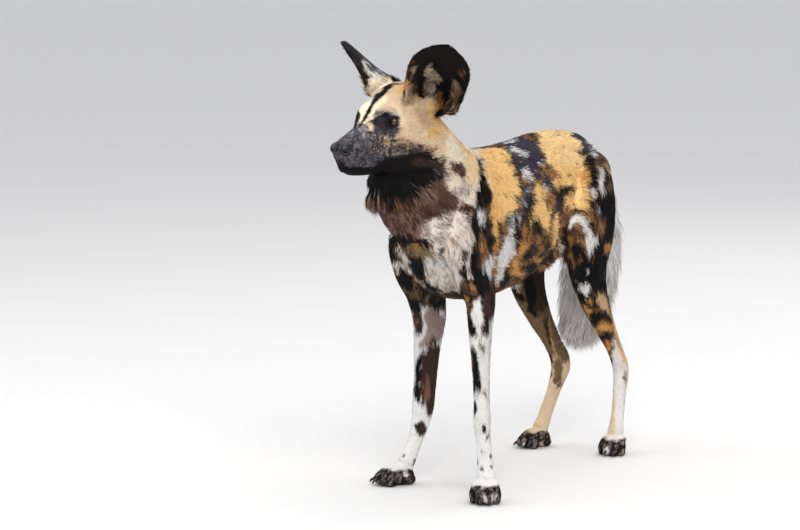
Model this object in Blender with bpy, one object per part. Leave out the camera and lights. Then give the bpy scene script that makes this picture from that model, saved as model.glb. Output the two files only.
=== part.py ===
"""An African wild dog, standing with its head turned to its right, as a life-size still model.

The dog faces -Y. A point of the body is written (fore, side, up) in metres, where fore is counted
from midway between the hind paws towards the head, side is positive on the dog's left, and up is
the height above the ground. The row frame's origin is on the ground under the middle of the box.
"""

import math
import random

import bmesh
import bpy
import numpy as np
from mathutils import Matrix, Vector
from mathutils.bvhtree import BVHTree

# Driving dimensions
MIDDLE_FORE = 0.3191  # the middle of the whole box, measured in the dog's own frame
MIDDLE_SIDE = -0.0238
GAP = 0.0003  # between nodes that meet face to face

# Grid, blending and thinning of the fused masses: voxel, smoothing steps, triangles
BODY_GRID = (0.0045, 12, 4000)
HEAD_GRID = (0.0028, 8, 2100)
PAW_GRID = (0.0024, 4, 300)
NOSE_GRID = (0.0012, 5, 240)

HEAD_YAW = math.radians(-20)
HEAD_PITCH = math.radians(-2)
EYE_LINE = (0.699, -0.050, 0.767)  # midway between the two eyes
EYE_RADIUS = 0.0120
LID_RADIUS = 0.0155
EYE_PLACE = (-0.004, 0.0340, -0.001)  # in the head's frame, from here on for the left side
EYE_AIM = (0.77, 0.63, 0.08)
EYE_OPENING = (0.0132, 0.0072)  # half length and half height of the gap between the lids
EYE_SLANT = math.radians(14)

EAR_BASE = (-0.0814, 0.0589, 0.0435)
EAR_AXES = {1: (0.293, 0.654, 0.670), -1: (0.103, 0.788, 0.571)}  # 1 is the left ear
EAR_TURNS = {1: math.radians(50), -1: math.radians(51)}  # outwards instead of straight ahead
EAR_LENGTH = 0.1645
EAR_HALF_WIDTH = 0.0622
EAR_BASE_WIDTH = 0.0361
EAR_WIDEST = 0.557  # share of the length
EAR_SWELL = 0.35  # how early the ear widens: under 1 is near its foot
EAR_FOOT = 0.20  # share of the length that narrows below the base and is sunk in the head
EAR_FOOT_WIDTH = 0.45  # of its lower end, as a share of the base
EAR_THICKNESS = 0.0045
EAR_ROWS = 9
EAR_COLUMNS = 9

# The head's side outline in its own frame, (fore, up): its lower and back edges part it from the neck
HEAD_OUTLINE = ((-0.146, 0.20), (-0.083, -0.090), (0.02, -0.1085), (0.20, -0.1085), (0.20, 0.20))

# The plane that parts neck and torso: a point on it, and the direction of the neck
NECK_PLANE = ((0.480, 0.0, 0.720), (0.25, 0.0, 0.22))
BRUSH_LEVEL = 0.535  # tail root and brush
FOREPAW_TOP = 0.064
HINDPAW_TOP = 0.060

LEG_MARGIN = 0.007  # of the cut round the muscles of each leg
FORE_WALL = ((0.80, 0.044), (0.47, 0.040), (0.405, 0.032), (0.36, 0.006), (-0.05, 0.006))
HIND_WALL = ((0.80, 0.042), (0.52, 0.034), (0.440, 0.006), (-0.05, 0.006))

# Long hair. A core reaches part of the way to the tips, and locks rooted in it reach all of it
RUFF_DEPTH = 0.044  # of the hair at the throat
RUFF_CORE = 0.5
TAIL_BARE_WIDTH = 0.020
TAIL_CORE = 0.5
LOCK_SHAPE = (0.85, 1.0, 0.74, 0.12)  # width along a lock, as a share of its widest
LOCK_ROOT = 0.009  # how deep it is sunk in
LOCK_LIFT = 0.5  # how steeply it leaves its root
LOCK_THICKNESS = 0.0055
RUFF_TURN = math.radians(-14)  # the middle of the rings, from straight ahead
RUFF_LOCK_WIDTH = 0.028
RUFF_FLARE = 0.08  # how far the locks stand off as they hang
# Rings of locks: fore, side and up of the middle, length, half arc in degrees, and count
RUFF_RINGS = (
    (0.650, -0.034, 0.676, 0.078, 112, 10),
    (0.648, -0.030, 0.645, 0.084, 112, 11),
    (0.640, -0.022, 0.610, 0.080, 108, 11),
    (0.630, -0.014, 0.575, 0.070, 100, 10),
    (0.622, -0.008, 0.540, 0.056, 88, 8),
)
BRUSH_RINGS = 6
BRUSH_COUNT = 6
BRUSH_FLARE = 0.10
BRUSH_LOCK_LENGTH = 0.105
BRUSH_LOCK_WIDTH = 0.036

COLOURS = {
    "head": (0.60, 0.36, 0.15),
    "neck": (0.11, 0.065, 0.045),
    "torso": (0.55, 0.28, 0.09),
    "tail": (0.74, 0.70, 0.62),
    "leg": (0.62, 0.58, 0.52),
    "paw": (0.055, 0.045, 0.042),
    "ear": (0.035, 0.028, 0.025),
    "nose": (0.018, 0.019, 0.024),
    "eye": (0.060, 0.028, 0.012),
}


def place(point):
    """(fore, side, up) in the dog's frame as a point of the row frame."""
    fore, side, up = point
    return Vector((side - MIDDLE_SIDE, MIDDLE_FORE - fore, up))


def head_turn():
    return Matrix.Rotation(HEAD_YAW, 3, "Z") @ Matrix.Rotation(-HEAD_PITCH, 3, "Y")


def head_point(point):
    """(fore, side, up) in the head's frame, whose origin is midway between the eyes."""
    return Vector(EYE_LINE) + head_turn() @ Vector(point)


def mirrored(point, way):
    return Vector((point[0], point[1] * way, point[2]))


def material(name, colour, roughness):
    made = bpy.data.materials.new(name)
    made.use_nodes = True
    shader = made.node_tree.nodes["Principled BSDF"]
    shader.inputs["Base Color"].default_value = (*colour, 1.0)
    shader.inputs["Roughness"].default_value = roughness
    shader.inputs["Metallic"].default_value = 0.0
    return made


def new_object(name, mesh):
    made = bpy.data.objects.new(name, mesh)
    bpy.context.scene.collection.objects.link(made)
    return made


def copy_of(obj, name):
    return new_object(name, obj.data.copy())


def drop(objects):
    for obj in objects:
        bpy.data.objects.remove(obj)


def mesh_from(bm):
    bmesh.ops.recalc_face_normals(bm, faces=bm.faces)
    mesh = bpy.data.meshes.new("shape")
    bm.to_mesh(mesh)
    bm.free()
    return mesh


def apply_modifiers(obj):
    graph = bpy.context.evaluated_depsgraph_get()
    mesh = bpy.data.meshes.new_from_object(obj.evaluated_get(graph))
    obj.modifiers.clear()
    obj.data = mesh
    return obj


# Lofts: closed meshes along rows of (fore, side, up, half width, front, back, squareness, turn)


def catmull_rom(rows, steps):
    """The rows of numbers, with steps rows for each stretch between two of them."""
    rows = np.array(rows, float)
    padded = np.vstack([2 * rows[0] - rows[1], rows, 2 * rows[-1] - rows[-2]])
    made = []
    for i in range(1, len(padded) - 2):
        before, start, end, after = padded[i - 1 : i + 3]
        for t in np.arange(steps) / steps:
            linear = (end - before) * t
            square = (2 * before - 5 * start + 4 * end - after) * t**2
            cube = (3 * start - before - 3 * end + after) * t**3
            made.append(0.5 * (2 * start + linear + square + cube))
    made.append(rows[-1])
    return np.array(made)


def ring_points(centre, side_axis, front_axis, size, sides):
    """One closed ring. size is (half width, reach to the front, reach to the back, squareness)."""
    half, front, back, square = size
    ring = []
    for k in range(sides):
        angle = 2 * math.pi * k / sides
        c, s = math.cos(angle), math.sin(angle)
        across = math.copysign(abs(c) ** (2 / square), c) * half
        along = math.copysign(abs(s) ** (2 / square), s) * (front if s > 0 else back)
        ring.append(centre + side_axis * across + front_axis * along)
    return ring


def rounded_end(ring, share, way):
    """A smaller ring past an end ring, on a round cap."""
    centre, side_axis, front_axis, size, line = ring
    depth = 0.7 * size[0] * math.sqrt(1 - share * share) * way
    less = (size[0] * share, size[1] * share, size[2] * share, size[3])
    return (centre + line * depth, side_axis, front_axis, less, line)


def loft(rows, side_hint=(0, 1, 0), steps=4, sides=20, to_dog=Vector):
    """side_hint is the direction of the half width. Front is at a right angle to it and to the
    line of the rows: up where they run forwards, and forwards where they run down."""
    fine = catmull_rom(rows, steps)
    centres = [Vector(row[:3]) for row in fine]
    rings = []
    for i, row in enumerate(fine):
        ahead = centres[min(i + 1, len(fine) - 1)] - centres[max(i - 1, 0)]
        line = ahead.normalized()
        hint = Matrix.Rotation(row[7], 3, "Z") @ Vector(side_hint)
        side_axis = (hint - line * hint.dot(line)).normalized()
        rings.append((centres[i], side_axis, line.cross(side_axis), row[3:7], line))
    first = [rounded_end(rings[0], share, -1) for share in (0.35, 0.8)]
    last = [rounded_end(rings[-1], share, 1) for share in (0.8, 0.35)]
    bm = bmesh.new()
    loops = []
    for centre, side_axis, front_axis, size, _ in first + rings + last:
        points = ring_points(centre, side_axis, front_axis, size, sides)
        loops.append([bm.verts.new(place(to_dog(p))) for p in points])
    bridge(bm, loops)
    return mesh_from(bm)


def bridge(bm, loops):
    """Faces between closed loops of points, and over the first and the last of them."""
    sides = len(loops[0])
    for lower, upper in zip(loops, loops[1:]):
        for k in range(sides):
            after = (k + 1) % sides
            bm.faces.new((lower[k], lower[after], upper[after], upper[k]))
    bm.faces.new(reversed(loops[0]))
    bm.faces.new(loops[-1])


def tube(points, radius, to_dog=Vector):
    rows = [(*point, radius, radius, radius, 2.0, 0.0) for point in points]
    return loft(rows, (0, 0, 1), steps=3, sides=8, to_dog=to_dog)


def ball(centre, radii, to_dog=Vector, segments=16, rings=10):
    """An ellipsoid mass. centre and radii are (fore, side, up)."""
    bm = bmesh.new()
    bmesh.ops.create_uvsphere(bm, u_segments=segments, v_segments=rings, radius=1.0)
    for vert in bm.verts:
        offset = Vector([c * r for c, r in zip(vert.co, radii)])
        vert.co = place(to_dog(Vector(centre) + offset))
    return mesh_from(bm)


# Fusing and cutting


def joined(name, meshes):
    bm = bmesh.new()
    for mesh in meshes:
        bm.from_mesh(mesh)
        bpy.data.meshes.remove(mesh)
    return new_object(name, mesh_from(bm))


def fused(name, meshes, grid):
    """The masses as one closed mesh, blended where they meet and thinned to few triangles."""
    voxel, steps, triangles = grid
    made = joined(name, meshes)
    remesh = made.modifiers.new("fuse", "REMESH")
    remesh.mode = "VOXEL"
    remesh.voxel_size = voxel
    smooth = made.modifiers.new("blend", "SMOOTH")
    smooth.factor = 0.6
    smooth.iterations = steps
    apply_modifiers(made)
    thin = made.modifiers.new("thin", "DECIMATE")
    thin.ratio = min(1.0, triangles / (2 * len(made.data.polygons)))
    thin.use_collapse_triangulate = True
    return apply_modifiers(made)


def cut_plane(obj, point, normal):
    """Keeps what lies on the side that the normal points to, and closes the cut."""
    bm = bmesh.new()
    bm.from_mesh(obj.data)
    everything = bm.verts[:] + bm.edges[:] + bm.faces[:]
    cut = bmesh.ops.bisect_plane(
        bm, geom=everything, plane_co=point, plane_no=normal, clear_inner=True
    )
    edges = [item for item in cut["geom_cut"] if isinstance(item, bmesh.types.BMEdge)]
    bmesh.ops.holes_fill(bm, edges=edges, sides=0)
    bm.to_mesh(obj.data)
    bm.free()
    return obj


def plane_in_row(plane):
    """A plane's point and normal in the row frame."""
    point, normal = Vector(plane[0]), Vector(plane[1]).normalized()
    start = place(point)
    return start, (place(point + normal) - start).normalized()


def boolean(obj, operation, others, solver="EXACT"):
    """One Boolean with all the others, which are then removed."""
    helpers = bpy.data.collections.new("helpers")
    bpy.context.scene.collection.children.link(helpers)
    for other in others:
        helpers.objects.link(other)
    modifier = obj.modifiers.new("boolean", "BOOLEAN")
    modifier.operation = operation
    modifier.operand_type = "COLLECTION"
    modifier.collection = helpers
    modifier.solver = solver
    apply_modifiers(obj)
    drop(others)
    bpy.data.collections.remove(helpers)
    return largest_surface(obj)


def largest_surface(obj):
    """Drops every closed surface but the largest."""
    bm = bmesh.new()
    bm.from_mesh(obj.data)
    left = set(bm.faces)
    pieces = []
    while left:
        seeds = [left.pop()]
        piece = list(seeds)
        while seeds:
            for edge in seeds.pop().edges:
                for face in edge.link_faces:
                    if face in left:
                        left.remove(face)
                        seeds.append(face)
                        piece.append(face)
        pieces.append(piece)
    pieces.sort(key=lambda piece: sum(face.calc_area() for face in piece))
    extra = [face for piece in pieces[:-1] for face in piece]
    bmesh.ops.delete(bm, geom=extra, context="FACES")
    bm.to_mesh(obj.data)
    bm.free()
    return obj


def grown(obj, distance):
    """A copy with its skin moved outwards."""
    made = copy_of(obj, "grown")
    bm = bmesh.new()
    bm.from_mesh(made.data)
    bm.normal_update()
    places = [vert.co + vert.normal * distance for vert in bm.verts]
    for vert, moved in zip(bm.verts, places):
        vert.co = moved
    bm.to_mesh(made.data)
    bm.free()
    return made


# Trunk, neck and tail


def straight_rows(rows, square=2.3):
    """Rows for the trunk from (fore, side, top, bottom, half width)."""
    made = []
    for fore, side, top, bottom, half in rows:
        middle = 0.45 * top + 0.55 * bottom
        made.append((fore, side, middle, half, top - middle, middle - bottom, square, 0.0))
    return made


def trunk():
    rows = [
        (-0.070, 0.0, 0.640, 0.545, 0.032),
        (-0.045, 0.0, 0.668, 0.505, 0.060),
        (-0.005, 0.0, 0.692, 0.470, 0.078),
        (0.045, 0.0, 0.704, 0.452, 0.084),
        (0.105, 0.0, 0.708, 0.440, 0.078),
        (0.175, 0.0, 0.706, 0.434, 0.080),
        (0.245, 0.0, 0.700, 0.412, 0.090),
        (0.315, 0.0, 0.695, 0.395, 0.097),
        (0.390, 0.0, 0.694, 0.384, 0.098),
        (0.460, 0.0, 0.700, 0.384, 0.090),
        (0.520, 0.0, 0.702, 0.396, 0.080),
        (0.580, 0.0, 0.688, 0.430, 0.070),
        (0.628, 0.0, 0.650, 0.478, 0.058),
        (0.652, 0.0, 0.610, 0.525, 0.035),
    ]
    return loft(straight_rows(rows))


def neck():
    rows = [
        (0.470, 0.000, 0.560, 0.088, 0.120, 0.150, 2.1, 0.0),
        (0.545, -0.004, 0.625, 0.086, 0.096, 0.128, 2.1, 0.0),
        (0.600, -0.014, 0.685, 0.082, 0.080, 0.112, 2.1, -0.15),
        (0.635, -0.024, 0.735, 0.078, 0.070, 0.104, 2.1, -0.3),
        (0.652, -0.030, 0.780, 0.066, 0.056, 0.085, 2.1, -0.4),
    ]
    return loft(rows)


def ruff_rows(reach):
    """The throat's long coat, from under the jaw to the chest, out to a share of its tips."""
    rows = [
        (0.676, -0.042, 0.705, 0.052, 0.040, 0.080, 2.0, -0.35),
        (0.680, -0.040, 0.665, 0.070, 0.056, 0.085, 2.0, -0.3),
        (0.678, -0.032, 0.622, 0.078, 0.060, 0.085, 2.0, -0.2),
        (0.666, -0.020, 0.575, 0.076, 0.054, 0.080, 2.0, -0.1),
        (0.644, -0.008, 0.532, 0.068, 0.042, 0.075, 2.0, 0.0),
    ]
    drawn_in = (1 - reach) * RUFF_DEPTH
    return [(f, s, u, h - drawn_in, a - drawn_in, *rest) for f, s, u, h, a, *rest in rows]


def ruff():
    return loft(ruff_rows(RUFF_CORE))


def tail_rows(reach):
    """The hanging tail, with its brush out to a share of its tips."""
    bare = TAIL_BARE_WIDTH
    rows = [
        (-0.060, 0.000, 0.642, 0.030, 0.030, 0.030),
        (-0.098, 0.000, 0.602, 0.025, 0.025, 0.025),
        (-0.124, -0.003, 0.552, 0.034, 0.030, 0.030),
        (-0.126, -0.009, 0.490, 0.058, 0.042, 0.040),
        (-0.116, -0.013, 0.425, 0.069, 0.048, 0.045),
        (-0.098, -0.015, 0.355, 0.063, 0.044, 0.042),
        (-0.076, -0.014, 0.290, 0.042, 0.034, 0.034),
        (-0.058, -0.012, 0.240, 0.012, 0.012, 0.014),
    ]
    sized = []
    for fore, side, up, *sizes in rows:
        sizes = [size if size < bare else bare + (size - bare) * reach for size in sizes]
        sized.append((fore, side, up, *sizes, 2.0, 0.0))
    return sized


def tail():
    return loft(tail_rows(TAIL_CORE)[:-1], steps=2, sides=14)


# Locks of long hair


def lock(root, out, lie, length, width, turn):
    """A flat tapered lock that leaves its root outwards and bends over to lie along the coat.

    turn swings its flat face a little about its own line."""
    across = Matrix.Rotation(turn, 3, lie) @ lie.cross(out).normalized()
    bm = bmesh.new()
    loops = []
    centre = root - out * LOCK_ROOT
    steps = len(LOCK_SHAPE) - 1
    for i, share in enumerate(LOCK_SHAPE):
        bend = i / steps
        line = (out * LOCK_LIFT * (1 - bend) ** 2 + lie).normalized()
        ridge = line.cross(across).normalized() * LOCK_THICKNESS * (0.4 + 0.6 * share)
        if ridge.dot(out) < 0:
            ridge = -ridge
        half = across * 0.5 * width * share
        loops.append([bm.verts.new(centre + corner) for corner in (half, ridge, -half)])
        centre = centre + line * (length / steps)
    bridge(bm, loops)
    return new_object("lock", mesh_from(bm))


def surface_of(obj):
    bm = bmesh.new()
    bm.from_mesh(obj.data)
    tree = BVHTree.FromBMesh(bm)
    bm.free()
    return tree


def row_way(fore, side, up):
    """A direction of the dog's frame in the row frame."""
    return Vector((side, -fore, up)).normalized()


def ruff_locks(core):
    """Rings of locks round the throat, from cheek to cheek, that hang over each other."""
    surface = surface_of(core)
    draw = random.Random(11)
    locks = []
    for ring, (fore, side, up, length, arc, count) in enumerate(RUFF_RINGS):
        axis = place((fore, side, up))
        for k in range(count):
            share = (k + 0.5 * (ring % 2) + draw.uniform(-0.2, 0.2)) / (count - 1) * 2 - 1
            angle = RUFF_TURN + math.radians(arc) * share
            out = row_way(math.cos(angle), math.sin(angle), -0.15)
            hit, normal, _, _ = surface.ray_cast(axis, out)
            if hit is None:
                continue
            lie = row_way(-0.12 * abs(share), 0.0, -1.0)
            lie = (lie - normal * (lie.dot(normal) - RUFF_FLARE)).normalized()
            size = draw.uniform(0.9, 1.1)
            width = RUFF_LOCK_WIDTH * draw.uniform(0.85, 1.15)
            locks.append(lock(hit, normal, lie, length * size, width, draw.uniform(-0.35, 0.35)))
    return locks


def brush_locks(core):
    """Rings of long locks down the tail, the last of which make its tip."""
    surface = surface_of(core)
    draw = random.Random(23)
    centres = catmull_rom(tail_rows(1.0), 4)
    locks = []
    for ring in range(BRUSH_RINGS):
        share = ring / (BRUSH_RINGS - 1)
        up = BRUSH_LEVEL - 0.014 - share * (BRUSH_LEVEL - 0.300)
        row = centres[np.abs(centres[:, 2] - up).argmin()]
        below = centres[np.abs(centres[:, 2] - (up - 0.05)).argmin()]
        down = (place(below[:3]) - place(row[:3])).normalized()
        for k in range(BRUSH_COUNT):
            angle = 2 * math.pi * (k + 0.5 * (ring % 2) + draw.uniform(-0.15, 0.15)) / BRUSH_COUNT
            out = row_way(math.cos(angle), math.sin(angle), 0.0)
            hit, normal, _, _ = surface.ray_cast(place(row[:3]), out)
            if hit is None:
                continue
            flare = BRUSH_FLARE * (1.0 - 1.5 * share)
            lie = (down + normal * flare).normalized()
            length = BRUSH_LOCK_LENGTH * draw.uniform(0.88, 1.08) * (1.0 - 0.15 * share)
            width = BRUSH_LOCK_WIDTH * draw.uniform(0.85, 1.15)
            locks.append(lock(hit, normal, lie, length, width, draw.uniform(-0.4, 0.4)))
    return locks


# Legs: each list runs from the top of the leg to the fetlock


def leg_rows(way, toe, fores, sides, ups, halves, fronts, backs, turns):
    columns = zip(fores, sides, ups, halves, fronts, backs, turns)
    return [(f, s * way, u, h, a, b, 2.2, toe * t * way) for f, s, u, h, a, b, t in columns]


FORE_UPS = (0.645, 0.585, 0.515, 0.455, 0.405, 0.345, 0.280, 0.210, 0.158, 0.125, 0.080, 0.045)
FORE_HALVES = (0.022, 0.030, 0.036, 0.034, 0.029, 0.025, 0.021, 0.018, 0.0195, 0.0175, 0.018, 0.022)
FORE_FRONTS = (0.040, 0.055, 0.055, 0.047, 0.039, 0.034, 0.030, 0.0255, 0.025, 0.0195, 0.0160, 0.018)
FORE_BACKS = (0.050, 0.068, 0.078, 0.076, 0.066, 0.046, 0.032, 0.0275, 0.026, 0.0235, 0.0180, 0.020)
FORE_TURNS = (0.0, 0.0, 0.1, 0.2, 0.4, 0.6, 0.8, 0.9, 1.0, 1.0, 1.0, 1.0)
FORE_LEFT = (
    (0.478, 0.530, 0.572, 0.562, 0.538, 0.545, 0.552, 0.557, 0.562, 0.563, 0.565, 0.572),
    (0.052, 0.060, 0.066, 0.072, 0.079, 0.086, 0.092, 0.097, 0.101, 0.104, 0.110, 0.116),
)
FORE_RIGHT = (
    (0.478, 0.530, 0.564, 0.546, 0.510, 0.482, 0.474, 0.470, 0.466, 0.470, 0.483, 0.500),
    (0.052, 0.060, 0.066, 0.069, 0.071, 0.0745, 0.081, 0.088, 0.095, 0.100, 0.107, 0.115),
)
HIND_UPS = (0.630, 0.565, 0.495, 0.425, 0.360, 0.290, 0.230, 0.178, 0.132, 0.082, 0.042)
HIND_HALVES = (0.034, 0.042, 0.040, 0.036, 0.029, 0.022, 0.017, 0.0185, 0.017, 0.0165, 0.020)
HIND_FRONTS = (0.070, 0.088, 0.086, 0.066, 0.046, 0.032, 0.023, 0.024, 0.0175, 0.0165, 0.018)
HIND_BACKS = (0.052, 0.078, 0.086, 0.066, 0.046, 0.030, 0.024, 0.027, 0.0185, 0.0165, 0.018)
HIND_TURNS = (0.0, 0.0, 0.0, 0.1, 0.3, 0.5, 0.7, 0.9, 1.0, 1.0, 1.0)
HIND_LEFT = (
    (0.005, 0.035, 0.060, 0.078, 0.064, 0.018, -0.030, -0.066, -0.060, -0.048, -0.032),
    (0.050, 0.064, 0.072, 0.078, 0.083, 0.086, 0.086, 0.084, 0.085, 0.087, 0.090),
)
HIND_RIGHT = (
    (0.005, 0.035, 0.058, 0.072, 0.056, 0.012, -0.032, -0.062, -0.050, -0.034, -0.018),
    (0.050, 0.064, 0.070, 0.074, 0.076, 0.072, 0.066, 0.062, 0.068, 0.078, 0.086),
)
FORE_SIZES = (FORE_UPS, FORE_HALVES, FORE_FRONTS, FORE_BACKS, FORE_TURNS)
HIND_SIZES = (HIND_UPS, HIND_HALVES, HIND_FRONTS, HIND_BACKS, HIND_TURNS)

# Each paw: fore and side of its middle, toe-out in degrees, and size
PAWS = {
    "forepaw_left": (0.574, 0.117, 28, 1.0),
    "forepaw_right": (0.510, -0.119, -42, 1.0),
    "hindpaw_left": (-0.030, 0.090, 16, 0.94),
    "hindpaw_right": (-0.016, -0.087, -28, 0.94),
}


def all_leg_rows():
    return {
        "foreleg_left": leg_rows(1, math.radians(28), *FORE_LEFT, *FORE_SIZES),
        "foreleg_right": leg_rows(-1, math.radians(42), *FORE_RIGHT, *FORE_SIZES),
        "hindleg_left": leg_rows(1, math.radians(16), *HIND_LEFT, *HIND_SIZES),
        "hindleg_right": leg_rows(-1, math.radians(28), *HIND_RIGHT, *HIND_SIZES),
    }


def leg_cutter(rows, wall, way, gap):
    """The space that a leg takes from the body: its outline from the side, out from the wall."""
    margin = LEG_MARGIN + gap
    top = rows[0]
    front = [(row[0] + row[4] + margin, row[2]) for row in rows]
    back = [(row[0] - row[5] - margin, row[2]) for row in rows]
    peak = [(top[0] - 0.5 * top[5], top[2] + 0.05 + gap), (top[0] + 0.5 * top[4], top[2] + 0.045 + gap)]
    foot = [(rows[-1][0] + 0.05, -0.05), (rows[-1][0] - 0.05, -0.05)]
    outline = front + foot + back[::-1] + peak
    side_prism = prism([(fore, 0.0, up) for fore, up in outline], (0.0, 0.30 * way, 0.0))
    inner = [(-0.30, (side - gap) * way, up) for up, side in wall]
    outer = [(-0.30, 0.28 * way, wall[-1][0]), (-0.30, 0.28 * way, wall[0][0])]
    front_prism = prism(inner + outer, (1.20, 0.0, 0.0))
    cutter = new_object("leg_cutter", side_prism)
    return boolean(cutter, "INTERSECT", [new_object("front_prism", front_prism)])


def prism(outline, depth, to_dog=Vector):
    """A flat outline of (fore, side, up) points, pushed out along depth."""
    bm = bmesh.new()
    near = [bm.verts.new(place(to_dog(Vector(p)))) for p in outline]
    far = [bm.verts.new(place(to_dog(Vector(p) + Vector(depth)))) for p in outline]
    bridge(bm, [near, far])
    return mesh_from(bm)


# Paws


def paw_frame(name):
    """A function from a paw's own (fore, side, up) to the dog's frame."""
    fore, side, toe, size = PAWS[name]
    turn = Matrix.Rotation(math.radians(toe), 3, "Z")

    def to_dog(point):
        moved = turn @ (Vector(point) * size)
        return Vector((fore + moved[0], side + moved[1], moved[2]))

    return to_dog


# The four toes of a paw: side at the root, side at the tip, reach ahead, and thickness
TOES = (
    (-0.019, -0.0245, 0.040, 0.0100),
    (-0.008, -0.0090, 0.056, 0.0108),
    (0.008, 0.0090, 0.056, 0.0108),
    (0.019, 0.0245, 0.040, 0.0100),
)


def toe(root, tip, reach, thick, to_dog):
    rows = [
        (0.000, root, 0.034, thick, thick, thick, 2.0, 0.0),
        (reach * 0.45, root * 0.6 + tip * 0.4, 0.031, thick, thick, thick * 1.1, 2.0, 0.0),
        (reach * 0.78, tip, 0.020, thick * 1.05, thick, thick * 1.3, 2.0, 0.0),
        (reach * 0.97, tip, 0.011, thick * 0.85, thick * 0.7, thick * 0.95, 2.0, 0.0),
    ]
    pad = ball((reach * 0.72, tip, 0.007), (0.013, thick * 0.9, 0.009), to_dog)
    return [loft(rows, steps=3, sides=12, to_dog=to_dog), pad]


def claw(tip, reach, to_dog):
    """A blunt curved claw, rooted in the end of its toe and clear of the ground."""
    rows = [
        (reach * 0.86, tip, 0.0150, 0.0030, 0.0032, 0.0032, 2.0, 0.0),
        (reach + 0.005, tip * 1.02, 0.0120, 0.0026, 0.0028, 0.0028, 2.0, 0.0),
        (reach + 0.010, tip * 1.04, 0.0065, 0.0014, 0.0015, 0.0015, 2.0, 0.0),
    ]
    return loft(rows, steps=1, sides=6, to_dog=to_dog)


def paw(name, leg, top):
    to_dog = paw_frame(name)
    masses = [
        loft(leg[-4:]),
        ball((0.002, 0.0, 0.020), (0.030, 0.026, 0.024), to_dog),
        ball((-0.010, 0.0, 0.010), (0.022, 0.022, 0.014), to_dog),
    ]
    for sizes in TOES:
        masses += toe(*sizes, to_dog)
    made = fused(name, masses, PAW_GRID)
    claws = [new_object("claw", claw(tip, reach, to_dog)) for _, tip, reach, _ in TOES]
    boolean(made, "UNION", claws)
    cut_plane(made, (0, 0, 0), (0, 0, 1))
    cut_plane(made, (0, 0, top - GAP), (0, 0, -1))
    return largest_surface(made)


# Head


def head_masses():
    """Skull, muzzle, jaw, cheeks, brows, lids and lips, in the head's frame."""
    skull = [
        (-0.108, 0.0, -0.002, 0.042, 0.050, 0.050, 2.0, 0.0),
        (-0.088, 0.0, -0.006, 0.056, 0.070, 0.064, 2.0, 0.0),
        (-0.058, 0.0, -0.010, 0.062, 0.083, 0.064, 2.1, 0.0),
        (-0.030, 0.0, -0.014, 0.058, 0.081, 0.060, 2.2, 0.0),
        (-0.006, 0.0, -0.018, 0.048, 0.070, 0.056, 2.3, 0.0),
        (0.014, 0.0, -0.022, 0.042, 0.064, 0.050, 2.3, 0.0),
        (0.034, 0.0, -0.030, 0.035, 0.053, 0.040, 2.2, 0.0),
        (0.052, 0.0, -0.036, 0.026, 0.034, 0.034, 2.1, 0.0),
    ]
    muzzle = [
        (-0.0200, 0.0, -0.036, 0.056, 0.058, 0.044, 2.2, 0.0),
        (0.0060, 0.0, -0.038, 0.047, 0.054, 0.044, 2.4, 0.0),
        (0.0321, 0.0, -0.042, 0.039, 0.046, 0.043, 2.5, 0.0),
        (0.0556, 0.0, -0.046, 0.033, 0.039, 0.040, 2.6, 0.0),
        (0.0792, 0.0, -0.050, 0.029, 0.031, 0.036, 2.6, 0.0),
        (0.0995, 0.0, -0.053, 0.025, 0.024, 0.030, 2.5, 0.0),
        (0.1081, 0.0, -0.055, 0.018, 0.014, 0.023, 2.4, 0.0),
    ]
    jaw = [
        (-0.0800, 0.0, -0.060, 0.048, 0.040, 0.028, 2.0, 0.0),
        (-0.0450, 0.0, -0.070, 0.050, 0.034, 0.025, 2.1, 0.0),
        (-0.0100, 0.0, -0.080, 0.041, 0.028, 0.021, 2.2, 0.0),
        (0.0235, 0.0, -0.086, 0.030, 0.022, 0.018, 2.3, 0.0),
        (0.0535, 0.0, -0.089, 0.023, 0.016, 0.016, 2.4, 0.0),
        (0.0792, 0.0, -0.089, 0.018, 0.013, 0.014, 2.4, 0.0),
        (0.0899, 0.0, -0.088, 0.013, 0.010, 0.012, 2.4, 0.0),
    ]
    masses = [loft(rows, sides=18, to_dog=head_point) for rows in (skull, muzzle, jaw)]
    for way in (1, -1):
        eye = mirrored(EYE_PLACE, way)
        masses += [
            ball(eye, [LID_RADIUS] * 3, head_point),
            ball((-0.034, 0.044 * way, -0.026), (0.046, 0.027, 0.032), head_point),
            ball((-0.056, 0.038 * way, -0.052), (0.044, 0.032, 0.040), head_point),
            ball((0.009, 0.034 * way, 0.017), (0.024, 0.016, 0.012), head_point),
            ball((-0.079, 0.043 * way, 0.022), (0.025, 0.022, 0.022), head_point),
            ball((0.088, 0.015 * way, -0.068), (0.018, 0.015, 0.018), head_point),
        ]
    masses.append(tube(mouth_line(0.0055, 0.0010), 0.0045, head_point))
    masses.append(tube(mouth_line(-0.0055, -0.0030), 0.0040, head_point))
    return masses


# The left half of the line between the lips, from the front to the corner of the mouth
MOUTH = (
    (0.1043, 0.0000, -0.0850),
    (0.0995, 0.0130, -0.0855),
    (0.0835, 0.0230, -0.0870),
    (0.0556, 0.0285, -0.0880),
    (0.0257, 0.0360, -0.0860),
    (-0.0060, 0.0455, -0.0800),
)


def mouth_line(rise, outwards):
    """The whole line, moved up by rise and away from the middle of the jaw by outwards."""
    half = []
    for fore, side, up in MOUTH:
        away = Vector((fore - 0.05, side * 2.0, 0.0)).normalized() * outwards
        half.append(Vector((fore, side, up + rise)) + away)
    half[0][1] = 0.0
    return [mirrored(p, -1) for p in half[:0:-1]] + half


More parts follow.
